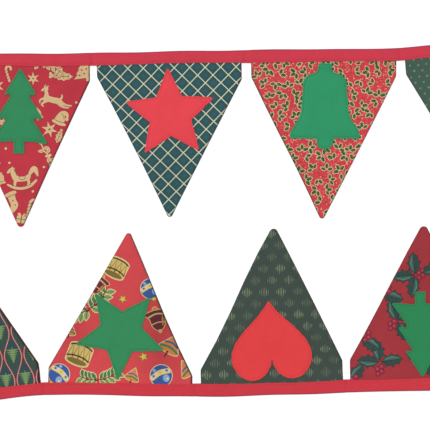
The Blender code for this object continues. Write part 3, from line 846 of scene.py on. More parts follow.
# Dark green cotton with wavy pink lines that make ogees, a fir tree in each
def ogeePrint():
    look = dict(column=54.3, half=10.9, swing=4.05, level=32.5, period=55.0, line=1.05, border=2.3)
    colours = dict(ground="#374f48", upper="#314b52", border="#642f35", line="#cb918d",
                   neck="#6b2f36", glow="#a2453c", tree="#76915b", twig="#5f7b47")
    columns = range(-14, 5)
    ogees = [(c, look["level"] + look["period"] * (n + 0.5 * (c % 2)))
             for c in columns for n in range(-1, 4)]
    inks = []

    def edgeU(j, v):
        side = 1 if j % 2 == 0 else -1
        return (look["column"] + (j + 0.5) * look["half"]
                + side * look["swing"] * cos(2 * pi * (v - look["level"]) / look["period"]))

    for c, widest in ogees:
        middle = look["column"] + c * look["half"]
        narrow = widest + look["period"] / 2
        around = [narrow + k * 1.5 for k in range(-5, 6)]
        inks += [(disc(middle, widest + 9, 7.0, 14, 1.3), colours["upper"]),
                 ([(edgeU(c, v), v) for v in around]
                  + [(edgeU(c - 1, v), v) for v in reversed(around)], colours["neck"]),
                 (disc(middle, narrow, 0.8, 8, 4.0), colours["glow"])]
    levels = [-20 + 2.75 * k for k in range(84)]
    for part in ("border", "line"):
        inks += [(strip([(edgeU(j, v), v) for v in levels], look[part], 1), colours[part])
                 for j in columns]
    tree = [(strip([(0, 0), (0, 15)], [1.4, 0.6], 1), colours["twig"])]
    for k, reach in enumerate((7.4, 6.2, 5.0, 3.8, 2.7, 1.6)):
        low = 1.4 + 2.5 * k
        right = [(reach * share, low + rise)
                 for share, rise in ((1, 0.9), (0.8, 0.2), (0.6, 0.9), (0.45, 0), (0.25, 0.7))]
        tree.append(([(0, low + 3.4)] + right + [(0, low - 0.1)] + [(-x, y) for x, y in right[::-1]],
                     colours["tree"]))
    tree.append(([(-0.5, 15.6), (0.5, 15.6), (0, 18.0)], colours["tree"]))
    trees = [(tree, look["column"] + c * look["half"], widest + 9.9) for c, widest in ogees]
    return colours["ground"], inks + scattered(trees)


# Red cotton strewn with small bunches of holly leaves in pale outlines, and fine flecks between
def leafPrint():
    look = dict(pitch=13.8, row=12.006, jitter=2.2, leaf=(6.6, 4.3), rim=0.7, spread=(60, 76),
                stalk=2.2, spring=0.9, flecks=5200, fleck=0.66)
    colours = dict(ground="#cd4247", flecks=("#ea7767", "#ad3439", "#f6a58f", "#9f3036"),
                   rim="#d3bd99", leaf="#33482a", half="#55702f")
    rng = Random("holly sprigs")
    inks = []
    for k in range(look["flecks"]):
        u, v = rng.uniform(-84, 84), rng.uniform(-9, 178)
        if abs(u) < 84 - 0.47 * v:
            inks.append((disc(u, v, look["fleck"] * rng.uniform(0.6, 1.3), 6),
                         colours["flecks"][k % 4]))
    bunches = []
    for u, v in repeat((0, 0), look["pitch"], look["row"], range(-7, 8), range(-1, 17)):
        u += rng.uniform(-1, 1) * look["jitter"]
        v += rng.uniform(-1, 1) * look["jitter"]
        bunches.append((u, v, rng.uniform(0, 360), rng.choice((2, 3, 3, 3))))
    rims, leaves = [], []
    for u, v, turn, count in bunches:
        for k in range(count):
            size = rng.uniform(0.85, 1.08)
            length, width = look["leaf"][0] * size, look["leaf"][1] * size
            leaf = hollyLeaf(length, width, 2, 0.76, 3)
            side = rng.choice((1, -1))
            half = [(0.3, 0.0)] + [(x, y * 0.8 * side) for x, y in leaf[1:len(leaf) // 2]]
            half.append((length - 0.3, 0.0))
            angle = turn + (k - (count - 1) / 2) * rng.uniform(*look["spread"])
            # the leaves of a bunch spread from one stalk, which is a little way behind its middle
            x, y = [at - look["stalk"] * wave(radians(turn)) + look["spring"] * wave(radians(angle))
                    for at, wave in ((u, cos), (v, sin))]
            rims += placed([(grown(leaf, look["rim"]), colours["rim"])], x, y, angle)
            leaves += placed([(leaf, colours["leaf"]), (half, colours["half"])], x, y, angle)
    return colours["ground"], inks + rims + leaves


# Red cotton with festive figures in gold, each with a thin dark outline. Figures stand upright as
# hung. Parts and marks are as drawn() takes them.
def goldPrint():
    colours = dict(ground="#bd3442", gold="#d8b686", pale="#e3c199", outline="#842c34",
                   mark="#77603a")
    mark, rim = colours["mark"], 0.75

    def figure(parts, marks=(), loops=()):
        shapes = list(loops) + [drawn(part) for part in parts]
        edged = bordered(shapes, colours["gold"], (colours["outline"], rim),
                         (colours["pale"], rim * 0.35))
        return edged + [(drawn(part), mark) for part in marks]

    # the middle rib of a leaf and its side veins
    def veins(length, width, count, rib):
        lines = [[(x, 0, 0.7) for x in rib]]
        for k in range(count):
            x = length * (k + 0.6) / (count + 0.6)
            lines += [[(x, 0, 0.55), (x + length * 0.1, side * width * 0.3, 0.55)]
                      for side in (1, -1)]
        return lines

    deer = figure([
        [(-8, 5.5), (-4.5, 2.5), (2, 0.5), (8, -0.5), (11, -4), (8.5, -8), (3, -7), (-3, -5.5),
         (-7.5, -4), (-10.5, -1), (-9.5, 3)],
        [(-8.5, 0, 7.0), (-8, 6, 4.2), (-9.5, 10.5, 3.2)],
        [(-7.4, 11.6, 3.0), (-11, 11.8, 3.4), (-14.2, 9.8, 1.5)],
        [(-8.5, 12, 1.8), (-7.2, 14.5, 1.5), (-5.6, 15.6, 0.7)],
        [(-10, 12.6, 1.5), (-10.4, 15, 1.2), (-9.2, 17, 0.7)],
        [(-9, -2, 4.4), (-13, -1, 2.6), (-16.5, -2.6, 1.8), (-16.8, -6, 1.3)],
        [(-8, -3.5, 3.8), (-11.5, -5.5, 2.4), (-14.5, -8, 1.7), (-12.5, -10.5, 1.3)],
        [(8, -4, 6.5), (13, -7.5, 3.4), (18, -9.5, 2.0), (23.5, -10.2, 1.6)],
        [(7, -6, 4.5), (10.5, -10, 2.8), (15, -12.2, 1.8), (20, -12.8, 1.4)],
        [(10.5, -1, 2.4), (12, 1.6, 2.0), (11.4, 4.2, 0.8)],
    ], [(-10.6, 11.4, 0.55)])
    rockingHorse = figure([
        [(-16.5, -8.5, 1.6), (-9, -11.6, 2.8), (0, -12.3, 3.0), (9, -9.5, 2.8), (15.5, -3.6, 1.8)],
        [(-8.5, 1.5), (-3, 0.2), (3, 0.8), (8, 3.5), (9, 0), (6.5, -3.4), (0, -4.6), (-6, -4.6),
         (-10.5, -2)],
        [(-8, -0.5, 6.6), (-10.5, 4, 4.8), (-11.5, 7.6, 3.6)],
        [(-10.4, 8.6, 3.8), (-13.5, 7.6, 3.4), (-16.2, 5.2, 2.0)],
        [(-11, 9.5, 1.5), (-11.6, 11.4, 0.7)],
        [(-7.5, -3.5, 3.8), (-8.5, -7.5, 2.3), (-8.2, -11, 2.0)],
        [(5.5, -2, 4.2), (7.2, -5.5, 2.4), (6.2, -9.5, 2.0)],
        [(7.5, 2, 2.0), (10.5, 7, 4.6), (13.5, 9.5, 5.2), (15.5, 6, 4.0), (17, 1.5, 1.2)],
    ], [[(-4, 0.4, 0.7), (-2, -2.6, 0.7), (2, -2.4, 0.7), (3.4, 0.8, 0.7)],
        [(-9.6, 9.2, 0.9), (-7.4, 5.4, 1.2), (-6.4, 1.8, 0.6)],
        [(-12.2, -9.6, 0.55), (0, -10.9, 0.55), (9.5, -8, 0.55)], (-13, 7, 0.5)])
    hat = figure([
        [(-7.5, -5), (-5.5, 0), (-1, 5.2), (4, 7), (8.2, 5), (9.6, 1), (8.2, -1.6), (6.6, 0.8),
         (5.4, 2.6), (4.6, -1.2), (4.2, -6.2), (-1.4, -7)],
        [(-9, -4.6, 2.6), (-2, -8, 3.4), (4.6, -9.8, 2.6)], (7.4, -3, 2.0),
    ], [[(-6.6, -3.4, 0.7), (-1, -6, 0.7), (4.2, -7.4, 0.7)],
        [(0.8, 4, 0.6), (3.4, 1.2, 0.6), (4, -3, 0.6)]])
    leaf = figure([], veins(20, 9.5, 3, (2, 16)), [hollyLeaf(20, 10, 3, 0.74)])
    smallLeaf = figure([], veins(14, 8.5, 2, (1.6, 11)), [hollyLeaf(14, 9, 2, 0.76)])
    berries = figure([(0, 0, 1.5), (-2.4, 2.2, 1.5), (-2.8, -1.2, 1.4)], [(0.2, 0.2, 0.4)])
    dot = figure([(0, 0, 1.15)])
    star = figure([], [(0, 0, 1.2)], [starLoop(0, 0, 9, 3.2, 6)])
    fir = figure([], [(-9, 6, 1), (-4, 8, 1), (2, 6, 1), (8, 8, 1), (-6.5, 12, 1), (-1.5, 13, 1),
                      (4.5, 14, 1), (-4, 18, 1), (1, 20, 1), (-1.5, 25, 1)], [firTree(30, 36, 6)])
    # a twig of ivy: oval leaves, and a mark along each
    twig = ((-12, 1.6, 165), (-8.4, 0.4, 62), (-5.6, -0.6, 232), (-1.6, 0, 112), (3, -0.8, -48),
            (6.6, -1.8, 64), (9.4, -2, -60), (12.4, -2, 8))
    oval, rib = hollyLeaf(6.6, 3.7, 1, 1.0), drawn([(1.2, 0, 0.5), (5, 0, 0.5)])
    ivy = figure([[(-13, 2, 0.9), (-6, -0.5, 1.0), (0, 0, 1.1), (7, -1.8, 1.0), (13, -2, 0.8)],
                  (0.6, -2.2, 1.3), (2.4, 1.6, 1.2)], [],
                 [placed([(oval, mark)], *place)[0][0] for place in twig])
    ivy += scattered(([(rib, mark)], *place) for place in twig)
    stocking = figure([
        [(-3.6, 9), (3.4, 9.4), (3.2, 2), (3.6, -4.5), (-1.5, -9.5), (-7.5, -10.8), (-9.6, -7.8),
         (-6, -5.2), (-3.6, -2), (-3.9, 4)],
        [(-5, 9.6, 3.4), (0, 10.2, 3.8), (5, 10, 3.4)],
    ], [[(-4.6, 7.4, 0.7), (4.4, 7.9, 0.7)], (0, 2, 0.8), (0.6, -3.5, 0.8)])
    cane = figure([[(0, -11, 2.6), (0, 0, 2.6), (0.4, 6, 2.6), (3.6, 9, 2.6), (7, 6.6, 2.6),
                    (6.6, 3.4, 2.6)]],
                  [[(-1.4, y, 0.7), (1.4, y + 1.6, 0.7)] for y in (-9, -5, -1, 3)])
    box = figure([[(0, 5), (-3.5, 9.6), (-6.5, 7.4), (0, 5), (3.5, 9.6), (6.5, 7.4)]],
                 [[(0, -6, 1.6), (0, 5, 1.6)], [(-7, 0, 1.2), (7, 0, 1.2)]],
                 [[(-7, -6), (7, -6), (7, 5), (-7, 5)]])
    bell = figure([[(-1.5, 8), (1.5, 8), (4.6, 4.4), (5.6, -1.5), (8.4, -5.6), (0, -7), (-8.4, -5.6),
                    (-5.6, -1.5), (-4.6, 4.4)], (0, -7.6, 1.9), (0, 9.2, 1.3)],
                  [[(-5.6, -3.2, 0.8), (0, -4.4, 0.8), (5.6, -3.2, 0.8)]])
    figures = (
        (deer, -37, 36, 180, 0.86), (rockingHorse, -2.5, 124), (hat, -45.5, 57, 180, 0.92),
        (leaf, -39, 11.5, 178), (smallLeaf, -39, 13.5, 232), (berries, -37, 11),
        (fir, -76, 17), (star, -33, 71, 192), (leaf, -41, 86, 250, 0.75),
        (ivy, -31, 99, 130), (ivy, -27, -1.5, 176), (dot, -46.4, 72, 0), (dot, -26.6, 113, 0),
        (dot, -63, 41, 0), (dot, 12, 108, 0), (stocking, 7.5, 152, 200), (cane, -10, 157, 168, 0.95),
        (box, -1, 171, 172, 0.7), (deer, 50, 42, 176, -1), (star, 26, 22), (bell, 44, 14, 190),
        (fir, 76, 30, 180, 0.8), (hat, 60, 8, 170, -1), (ivy, 40, 66, 60),
        (leaf, 22, 108, 20, 0.85), (smallLeaf, 25, 108, 315), (dot, 55, 56, 0), (dot, 30, 90, 0),
        (box, 27, 78, 190, 0.8), (bell, 22, 126, 175, 0.7), (dot, -14, 140, 0),
        (star, -15, 14, 180, 0.8), (cane, 14, 8, 196, 0.8), (star, 19, 63, 170, 0.7),
        (bell, -20, 54, 184, 0.7), (box, -22, 80, 176, 0.6), (dot, 16, 92, 0))
    return colours["ground"], scattered(figures)


# Red cotton with large holiday toys in several colours, tumbled about
def parcelPrint():
    colours = dict(ground="#d0474b", vein="#3f6b3f", tan="#cdb26a", olive="#7c6a33", dark="#4b3a26",
                   cream="#dccb9a", blue="#3a5a9c", sky="#86a8d0", yellow="#d9bb52",
                   green="#4a7d4c", moss="#84a05c", wine="#6a2a3a", orange="#cf8444")

    def toy(colour, edge, *loops):
        return bordered(loops, colours[colour], (colours[edge], 0.7))

    # rows of a colour and a part as drawn() takes it
    def details(*rows):
        return [(drawn(part), colours[colour]) for colour, part in rows]

    # a band that sags across a round toy
    def band(colour, reach, level, sag, width, steps=4):
        line = [(-reach, level), (0, level - sag), (reach, level)]
        return [(strip(line, width, steps), colours[colour])]

    drum = toy("tan", "cream", [(-10, -7), (10, -7), (10, 6), (-10, 6)], disc(0, 6, 10, 30, 0.32),
               disc(0, -7, 10, 30, 0.32)) + details(("olive", (0, 6, 8.8, 30, 0.28)))
    drum += [(strip([(x, 3.4), (x + 2.5, -7.6), (x + 5, 3.4)], 0.9, 1), colours["olive"])
             for x in (-10, -5, 0, 5)]
    for y in (4.4, -5.6):
        drum += details(("dark", [(x, y - 3.2 * sqrt(1 - (x / 10) ** 2), 1.3)
                                  for x in (-9.3, -8, -5, 0, 5, 8, 9.3)]))
    drum += details(*[("yellow", (x, -2, 0.8)) for x in (-7.5, -2.5, 2.5, 7.5)])
    bauble = toy("blue", "cream", disc(0, 0, 10, 36))
    bauble += details(("sky", (-3.4, 4, 3.2, 18, 1.1)), ("cream", (-4.2, 4.8, 1.2)))
    bauble += band("cream", 8.2, -1.5, 1.7, 4.6, 8) + band("yellow", 9.3, 1.1, 1.9, 0.7, 8)
    bauble += [(starLoop(0, -3.2, 2.7, 1.2), colours["yellow"]),
               (starLoop(6.6, -2.4, 1.9, 0.8), colours["blue"]),
               (starLoop(-6.6, -2.4, 1.9, 0.8), colours["blue"])]
    bauble += details(("sky", (4, -7, 1.6)))
    bauble += toy("yellow", "olive", [(-2, 9.6), (2, 9.6), (1.8, 12.4), (-1.8, 12.4)])
    # a swag of small leaves on both sides of a hanging twig
    garland, leaf = [], hollyLeaf(7.6, 3.9, 1, 1.0, 5)
    leafColours = {1: colours["green"], -1: colours["moss"]}
    for k in range(-4, 5):
        for way in (1, -1):
            parts = bordered([leaf], leafColours[way], (colours["cream"], 0.6))
            parts += details(("vein", [(0.6, 0, 0.45), (7, 0, 0.45)]))
            x, tilt = 3.7 * k, 7.5 * k + way * (58 if k >= 0 else 122)
            garland += placed(parts, x, 0.016 * x * x, tilt)
    garland += details(("dark", [(x, 0.016 * x * x, 0.8) for x in (-17, -8, 0, 8, 17)]))
    for x in (-11, -3.5, 4, 11.5):
        y = 0.016 * x * x
        garland += details(("wine", (x, y, 1.5)), ("orange", (x + 0.4, y + 0.4, 0.5)))
    bell = toy("orange", "tan", disc(0, -8.4, 2.2)) + toy("wine", "tan", drawn(
        [(-2, 9), (2, 9), (5.4, 5), (6.4, -1.5), (9.4, -6), (0, -7.8), (-9.4, -6), (-6.4, -1.5),
         (-5.4, 5)]))
    bell += band("tan", 6.8, -3.2, 1.6, 1.3) + band("tan", 5.6, 3.6, 1.0, 0.9)
    bell += details(("orange", [(-3.4, 6, 0.8), (-4.4, 1, 1.4), (-5, -2, 0.6)]),
                    ("tan", (0, 10.4, 1.7)))
    top = toy("orange", "cream", drawn([(-8, 4), (0, 5.6), (8, 4), (6, -1), (0.8, -9), (-0.8, -9),
                                        (-6, -1)]))
    top += band("green", 7.4, 2.4, 1.6, 1.8) + band("blue", 5.4, -1.6, 1.4, 1.4)
    top += details(("dark", [(0, 5, 1.6), (0, 9.4, 1.1)]))
    star = toy("yellow", "olive", starLoop(0, 0, 4.4, 1.9))
    toys = ((drum, -6, 128, 155, 1.2), (bauble, 33, 106, 200, 1.1), (garland, -33, 84, 35, 1.5),
            (bell, 41, 72, 195, 1.3), (drum, -46, 31, 160, 1.3), (bauble, -68, 9, 140, 1.15),
            (bauble, 46, 9, 205, 1.2), (top, 56, 42, 150, 1.4), (bell, -26, 110, 150, 1.15),
            (top, 76, 16, 215, 1.2), (garland, -22, 4, 8, 1.25), (star, -37, 48, 0, 1.2),
            (star, 26, 30, 20, 1.1), (top, -57, 58, 170, 0.9), (star, -15, 148, 30, 0.9),
            (top, 14, 8, 160, 0.95), (star, 2, 94, 30))
    return colours["ground"], scattered(toys)


# Wine-red cotton with sprigs of three holly leaves and berries, dark outlines
def sprigPrint():
    colours = dict(ground="#9f333a", outline="#2e2a2b", leaf="#3f5f57", deep="#304a46",
                   light="#567c6c", berry="#9c3040", rim="#621f2b", glint="#b04a5c")
    length, width = 23.5, 15.5

    def leaf(turn):
        loop = hollyLeaf(length, width, 3, 0.68, 5)
        half = [(1.0, 0.0)] + [(x, y * 0.72) for x, y in loop[1:len(loop) // 2]] + [(length - 2, 0)]
        vein = strip([(0.5, 0), (length * 0.9, 0)], [0.9, 0.35], 1)
        parts = bordered([loop], colours["deep"], (colours["outline"], 0.55))
        parts += [(half, colours["leaf"]),
                  (strip([(length * 0.2, width * 0.12), (length * 0.5, width * 0.24),
                          (length * 0.8, width * 0.1)], [0.6, 1.7, 0.5]), colours["light"]),
                  (vein, colours["outline"])]
        for t in (0.3, 0.52, 0.74):
            parts.append((strip([(length * (t - 0.08), 0), (length * t, -width * 0.27)],
                                [0.5, 0.25], 1), colours["outline"]))
        c, s = cos(radians(turn)), sin(radians(turn))
        return placed(parts, 1.6 * c, 1.6 * s, turn)

    def berries(x, y):
        bunch = []
        for dx, dy, r in ((0, 0, 2.7), (4.4, 2.6, 2.6), (4.2, -2.6, 2.6), (0.2, -5.2, 2.3)):
            bunch += [(disc(x + dx, y + dy, r + 0.7), colours["rim"]),
                      (disc(x + dx, y + dy, r), colours["berry"]),
                      (disc(x + dx - 0.4, y + dy + 0.6, r * 0.4), colours["glint"])]
        return bunch

    sprigs = ((-6.2, 116.5, (95, 185, 260), (4.5, 2)), (-26.8, 65.3, (108, 40, -62), (-7.5, -3)),
              (-46.3, 19.8, (176, 100, 8), (-2.5, -8)), (38, 84, (60, 150, 250), (4, -6)),
              (47, 40, (20, 110, 215), (3.5, 5)), (64, 8, (85, 170, 330), (-6, 3)),
              (8, 22, (70, 165, 290), (4, 4)), (26, 128, (200, 290, 100), (-7, -4)),
              (-81, -2, (50, 140, 250), (3, 3)), (-44, 96, (-15, 80, 200), (4, 5)),
              (4, 66, (35, 140, 255), (5, 1)), (-68, 47, (330, 80, 190), (5, 3)))
    inks = []
    for u, v, turns, (x, y) in sprigs:
        sprig = [part for turn in turns for part in leaf(turn)] + berries(x, y)
        inks += placed(sprig, u, v, 0.0)
    return colours["ground"], inks


# The felt shapes, hanging upright: v is the distance below the tape. Columns: u, v, corner radius
# in mm. A symmetrical shape lists its +u half from top to bottom.
feltShapes = dict(
    star=dict(points=5, middle=56.0, outer=53.0, inner=24.5, radius=1.6),
    heart=dict(width=90.0, top=3.0, height=92.0, points=72),
    bell=((7.5, 2.0, 3.0), (7.5, 11.0, 4.0), (24.0, 17.0, 13.0), (26.5, 60.0, 30.0),
          (38.5, 78.0, 3.0), (38.5, 86.0, 2.0), (9.0, 86.0, 1.5), (9.0, 98.0, 8.0)),
    tree=((0.0, 2.0, 1.5), (19.0, 33.0, 1.5), (9.5, 31.5, 1.5), (26.5, 60.0, 1.5),
          (14.0, 58.0, 1.5), (33.0, 87.0, 1.5), (6.0, 84.0, 1.0), (6.0, 98.0, 1.0)),
    stocking=((-19.0, 2.0, 2.0), (17.0, 2.0, 2.0), (17.0, 16.0, 2.0), (14.5, 18.0, 2.0),
              (14.5, 54.0, 12.0), (33.0, 64.0, 12.0), (37.0, 79.0, 8.0), (29.0, 91.0, 9.0),
              (4.0, 89.0, 12.0), (-20.0, 94.0, 14.0), (-17.0, 66.0, 20.0), (-16.5, 18.0, 2.0),
              (-19.0, 16.0, 2.0)),
)
feltCut = dict(pivot=50.0, top=1.5, rows=(0.12, 0.3, 0.6, 1.1, 1.6, 2.1, 2.6, 3.4), uneven=0.16,
               unevenLengths=(4, 18), step=1.6, shortest=0.9)
# A stitch is thinner where it dives into the cloth, endGirth being the share that is left
stitch = dict(radius=0.17, endGirth=0.55, sink=0.14, arch=1.9, sides=5, rings=5, wander=0.12)
feltStitch = dict(inset=2.1, pitch=2.7, length=2.2, shortest=1.0, dent=0.42, dentWidth=0.6)


def mirrored(half):
    return list(half) + [(-u, v, radius) for u, v, radius in reversed(half) if u > 0]


def starOutline(points, middle, outer, inner, radius):
    corners = []
    for k in range(2 * points):
        reach = inner if k % 2 else outer
        angle = pi * k / points - pi / 2
        corners.append((reach * cos(angle), middle + reach * sin(angle), 0.0 if k % 2 else radius))
    return rounded(corners, 4)


# A heart by the usual curve of sines, with a blunter tip, because the curve's own is too thin
def heartOutline(width, top, height, points):
    curve = []
    for k in range(points):
        a = 2 * pi * k / points
        x = 16 * sin(a) ** 3
        if 2 * k == points:
            curve += [(0.35, -15.35), (0.0, -15.65), (-0.35, -15.35)]
        if (cos(a) < 0 and abs(x) < 1.9) or 1e-9 < abs(x) < 0.3:
            continue
        curve.append((x, 13 * cos(a) - 5 * cos(2 * a) - 2 * cos(3 * a) - cos(4 * a)))
    wide = max(x for x, _ in curve)
    high = max(y for _, y in curve)
    return [(x * width / 2 / wide, top + (high - y) / (high + 17) * height) for x, y in curve]


# A felt shape turned a little about its middle and kept clear of the tape
def feltOutline(kind, tilt):
    shape = feltShapes[kind]
    if kind == "star":
        outline = starOutline(**shape)
    elif kind == "heart":
        outline = heartOutline(**shape)
    else:
        outline = rounded(list(shape) if kind == "stocking" else mirrored(shape))
    c, s = cos(radians(tilt)), sin(radians(tilt))
    turned = [(u * c - (v - feltCut["pivot"]) * s, feltCut["pivot"] + u * s
               + (v - feltCut["pivot"]) * c) for u, v in outline]
    slide = max(0.0, feltCut["top"] - min(v for _, v in turned))
    return [(u, v + slide) for u, v in turned]


# Felt is cut by hand, so its edge wanders a little to both sides
def handCut(outline, seed):
    rim = []
    for point in evenly(outline, feltCut["step"]):
        if not rim or (Vector(point) - Vector(rim[-1])).length > feltCut["shortest"]:
            rim.append(point)
    places = np.array(rim)
    wander = unevenness(places, seed, *feltCut["unevenLengths"], 7) * feltCut["uneven"]
    along = unit(np.roll(places, -1, 0) - np.roll(places, 1, 0))
    return [tuple(p) for p in places - leftOf(along) * wander[:, None]]


# Rows of sewing: each stitch is a short thread that dives into the cloth at both ends
def stitchMesh(name, stitches):
    corners, polygons = [], []
    sides, rings = stitch["sides"], stitch["rings"]
    for start, end in stitches:
        start, end = Vector(start), Vector(end)
        along = (end - start).xy.normalized()
        out = Vector((-along.y, along.x, 0.0))
        first = len(corners)
        for k in range(rings):
            t = k / (rings - 1)
            rise = sin(pi * t)
            sag = Vector((0, 0, stitch["sink"] * (stitch["arch"] * rise - 1)))
            centre = start.lerp(end, t) + sag
            full = rise ** 0.5 if 0 < k < rings - 1 else 0.0
            girth = stitch["radius"] * (stitch["endGirth"] + (1 - stitch["endGirth"]) * full)
            for m in range(sides):
                a = 2 * pi * m / sides
                spot = centre + out * girth * cos(a) + Vector((0, 0, girth * sin(a)))
                corners.append(tuple(spot * mm))
        for k in range(rings - 1):
            for m in range(sides):
                a, b = first + k * sides + m, first + k * sides + (m + 1) % sides
                polygons.append((a, b, b + sides, a + sides))
        polygons.append(tuple(first + m for m in reversed(range(sides))))
        polygons.append(tuple(first + (rings - 1) * sides + m for m in range(sides)))
    mesh = bpy.data.meshes.new(name)
    mesh.from_pydata(corners, [], polygons)
    mesh.shade_smooth()
    return mesh


# A row of stitches at an even distance inside a felt shape's edge
def stitchRow(outline, height, seed):
    rng = Random(seed)
    fine = np.array(evenly(outline, 0.5))
    if area(outline) < 0:
        fine = fine[::-1]
    along = unit(np.roll(fine, -2, 0) - np.roll(fine, 2, 0))
    row = fine + leftOf(along) * feltStitch["inset"]
    clear = distanceTo(row, [tuple(p) for p in fine[::3]], True)
    row = row[clear > feltStitch["inset"] * 0.9]
    steps = np.linalg.norm(np.diff(row, axis=0), axis=1)
    place = np.concatenate([[0], np.cumsum(steps)])
    stitches = []
    start = 0.0
    while start + feltStitch["length"] < place[-1]:
        ends = [start, start + feltStitch["length"] * rng.uniform(0.92, 1.05)]
        spots = [[np.interp(e, place, row[:, k]) + rng.uniform(-stitch["wander"], stitch["wander"])
                  for k in (0, 1)] for e in ends]
        start += feltStitch["pitch"]
        if (Vector(spots[1]) - Vector(spots[0])).length < feltStitch["shortest"]:
            continue
        levels = height(np.array(spots))
        stitches.append([(*spot, level) for spot, level in zip(spots, levels)])
    return stitches


backings = dict(dot="#8d2f3c", leaf="#2e5340", lattice="#a23a45", gold="#3b4c36", ogee="#6e2a33",
                parcel="#2f5a41", dash="#a8434d", sprig="#26382d")
felts = dict(dot="#e8464a", leaf="#319b6a", lattice="#f04953", gold="#358e5d", ogee="#e8464a",
             parcel="#378f5c", dash="#ea4346", sprig="#2e8b57")
prints = dict(lattice=latticePrint, dot=dotPrint, dash=dashPrint, ogee=ogeePrint, leaf=leafPrint,
              gold=goldPrint, parcel=parcelPrint, sprig=sprigPrint)
# Soft places of painted shade (amount below 0) and painted light (above 0) on a front, as where
# gentle folds turn from or to the light: u, v, how far they reach along u and v, how much
paintedShades = dict(parcel=((44, 62, 20, 52, -0.3), (-50, 60, 14, 30, -0.16), (-10, 30, 40, 40, 0.06)),
              sprig=((20, 100, 30, 60, -0.06), (-50, 26, 26, 30, 0.07)),
              gold=((-60, 20, 20, 40, -0.05), (10, 90, 30, 30, 0.05)),
              dash=((-30, 60, 30, 40, 0.04),), lattice=((0, 120, 40, 40, -0.05),))
# Rows of points along a panel's edge; how much painted shade darkens a panel at its rolled seam,
# and how far that reaches
panelRows = (0.25, 0.6, 1.1, 1.7, 2.6)
seamShade = dict(front=(0.42, 0.85), back=(0.3, 1.3))


# The fabrics of one pennant. Each length of cotton lies a little off its grain.
def printedCotton(name):
    return cotton("quilting cotton, plain weave, printed, " + name, turn=Random(name).uniform(-2, 2))


def dyedCotton(name):
    return cotton("plain cotton lining cloth, " + name, turn=Random(name).uniform(-3, 3),
                  mottle=0.05)


def craftFelt(name):
    return felt("craft felt, pressed, " + name, felts[name])


# The thread of a felt shape is a darker tone of its felt
def sewingThread(name):
    tones = [round(int(felts[name][i:i + 2], 16) * threadLook["darker"]) for i in (1, 3, 5)]
    return thread("polyester sewing thread, " + name, "#" + "".join(f"{tone:02x}" for tone in tones))


def addPennant(pennant):
    name = pennant["name"]
    frontRim = pennantOutline(pennant)
    backRim = pennantOutline(pennant, pennant["peek"])

    # painted shade: a panel is darker towards its rolled seam, where the cloth turns away from the
    # light
    def paintedSeamShade(rim, side, points):
        amount, reach = seamShade[side]
        return 1 - amount * np.exp(-(distanceTo(points, finishedEdge(rim)) / reach) ** 2)

    def frontShade(points):
        tone = paintedSeamShade(frontRim, "front", points)
        # painted shade and painted light from the soft places are added to the seam's painted shade
        for u, v, reachU, reachV, amount in paintedShades.get(name, ()):
            tone += amount * np.exp(-((points[:, 0] - u) / reachU) ** 2
                                    - ((points[:, 1] - v) / reachV) ** 2)
        return tone

    ground, inks = prints[name]()
    mesh = sheetMesh("front" + name, frontRim, panelRows, cut["front"],
                     lambda p: panelHeights(pennant, frontRim, True, p), ground, inks, frontShade)
    front = addPiece("printed_" + name, mesh, printedCotton(name), "front_" + name,
                     pennant)
    mesh = sheetMesh("back" + name, backRim, panelRows, cut["back"],
                     lambda p: panelHeights(pennant, backRim, False, p), backings[name],
                     shade=lambda p: paintedSeamShade(backRim, "back", p))
    back = addPiece("backing_" + name, mesh, dyedCotton(name),
                    "back_" + name, pennant)

    shapeRim = handCut(feltOutline(pennant["shape"], pennant["tilt"]), name + " cut")

    def feltHeights(points):
        edge = distanceTo(points, shapeRim, True)
        fall = layers["feltRound"] * rollAt(edge, layers["feltRound"])
        under = panelHeights(pennant, frontRim, True, points)[1] + layers["feltLift"]
        groove = (edge - feltStitch["inset"]) / feltStitch["dentWidth"]
        dent = feltStitch["dent"] * np.exp(-groove ** 2)
        lumps = layers["feltLump"] * unevenness(points, name + " felt", *layers["feltLumps"])
        return under, under + layers["felt"] - fall - dent + lumps * (edge > 0.5)

    mesh = sheetMesh("shape" + name, shapeRim, feltCut["rows"], cut["felt"], feltHeights,
                     felts[name])
    shape = addPiece("felt_" + name, mesh, craftFelt(name), "shape_" + name, pennant)
    stitches = stitchRow(shapeRim, lambda p: feltHeights(p)[1], name + " stitches")
    sewing = addPiece("sewing_" + name, stitchMesh("sewing" + name, stitches), sewingThread(name),
                      pennant=pennant)


for pennant in pennants:
    addPennant(pennant)
    print("pennant made:", pennant["name"])


# Where the tape grips a pennant, as stretches along its middle line
def gripSpans():
    spans = []
    for pennant in pennants:
        along = np.array([cos(radians(pennant["turn"])), sin(radians(pennant["turn"]))])
        ends = []
        for side in (-1, 1):
            corner = np.array([pennant["x"], pennant["y"]]) + along * side * pennant["width"] / 2
            nearest = np.argmin(((tapeLine - corner) ** 2).sum(1))
            ends.append(tapeDistance[nearest] + (corner - tapeLine[nearest]) @ tapeAlong[nearest])
        spans.append((min(ends), max(ends)))
    return spans


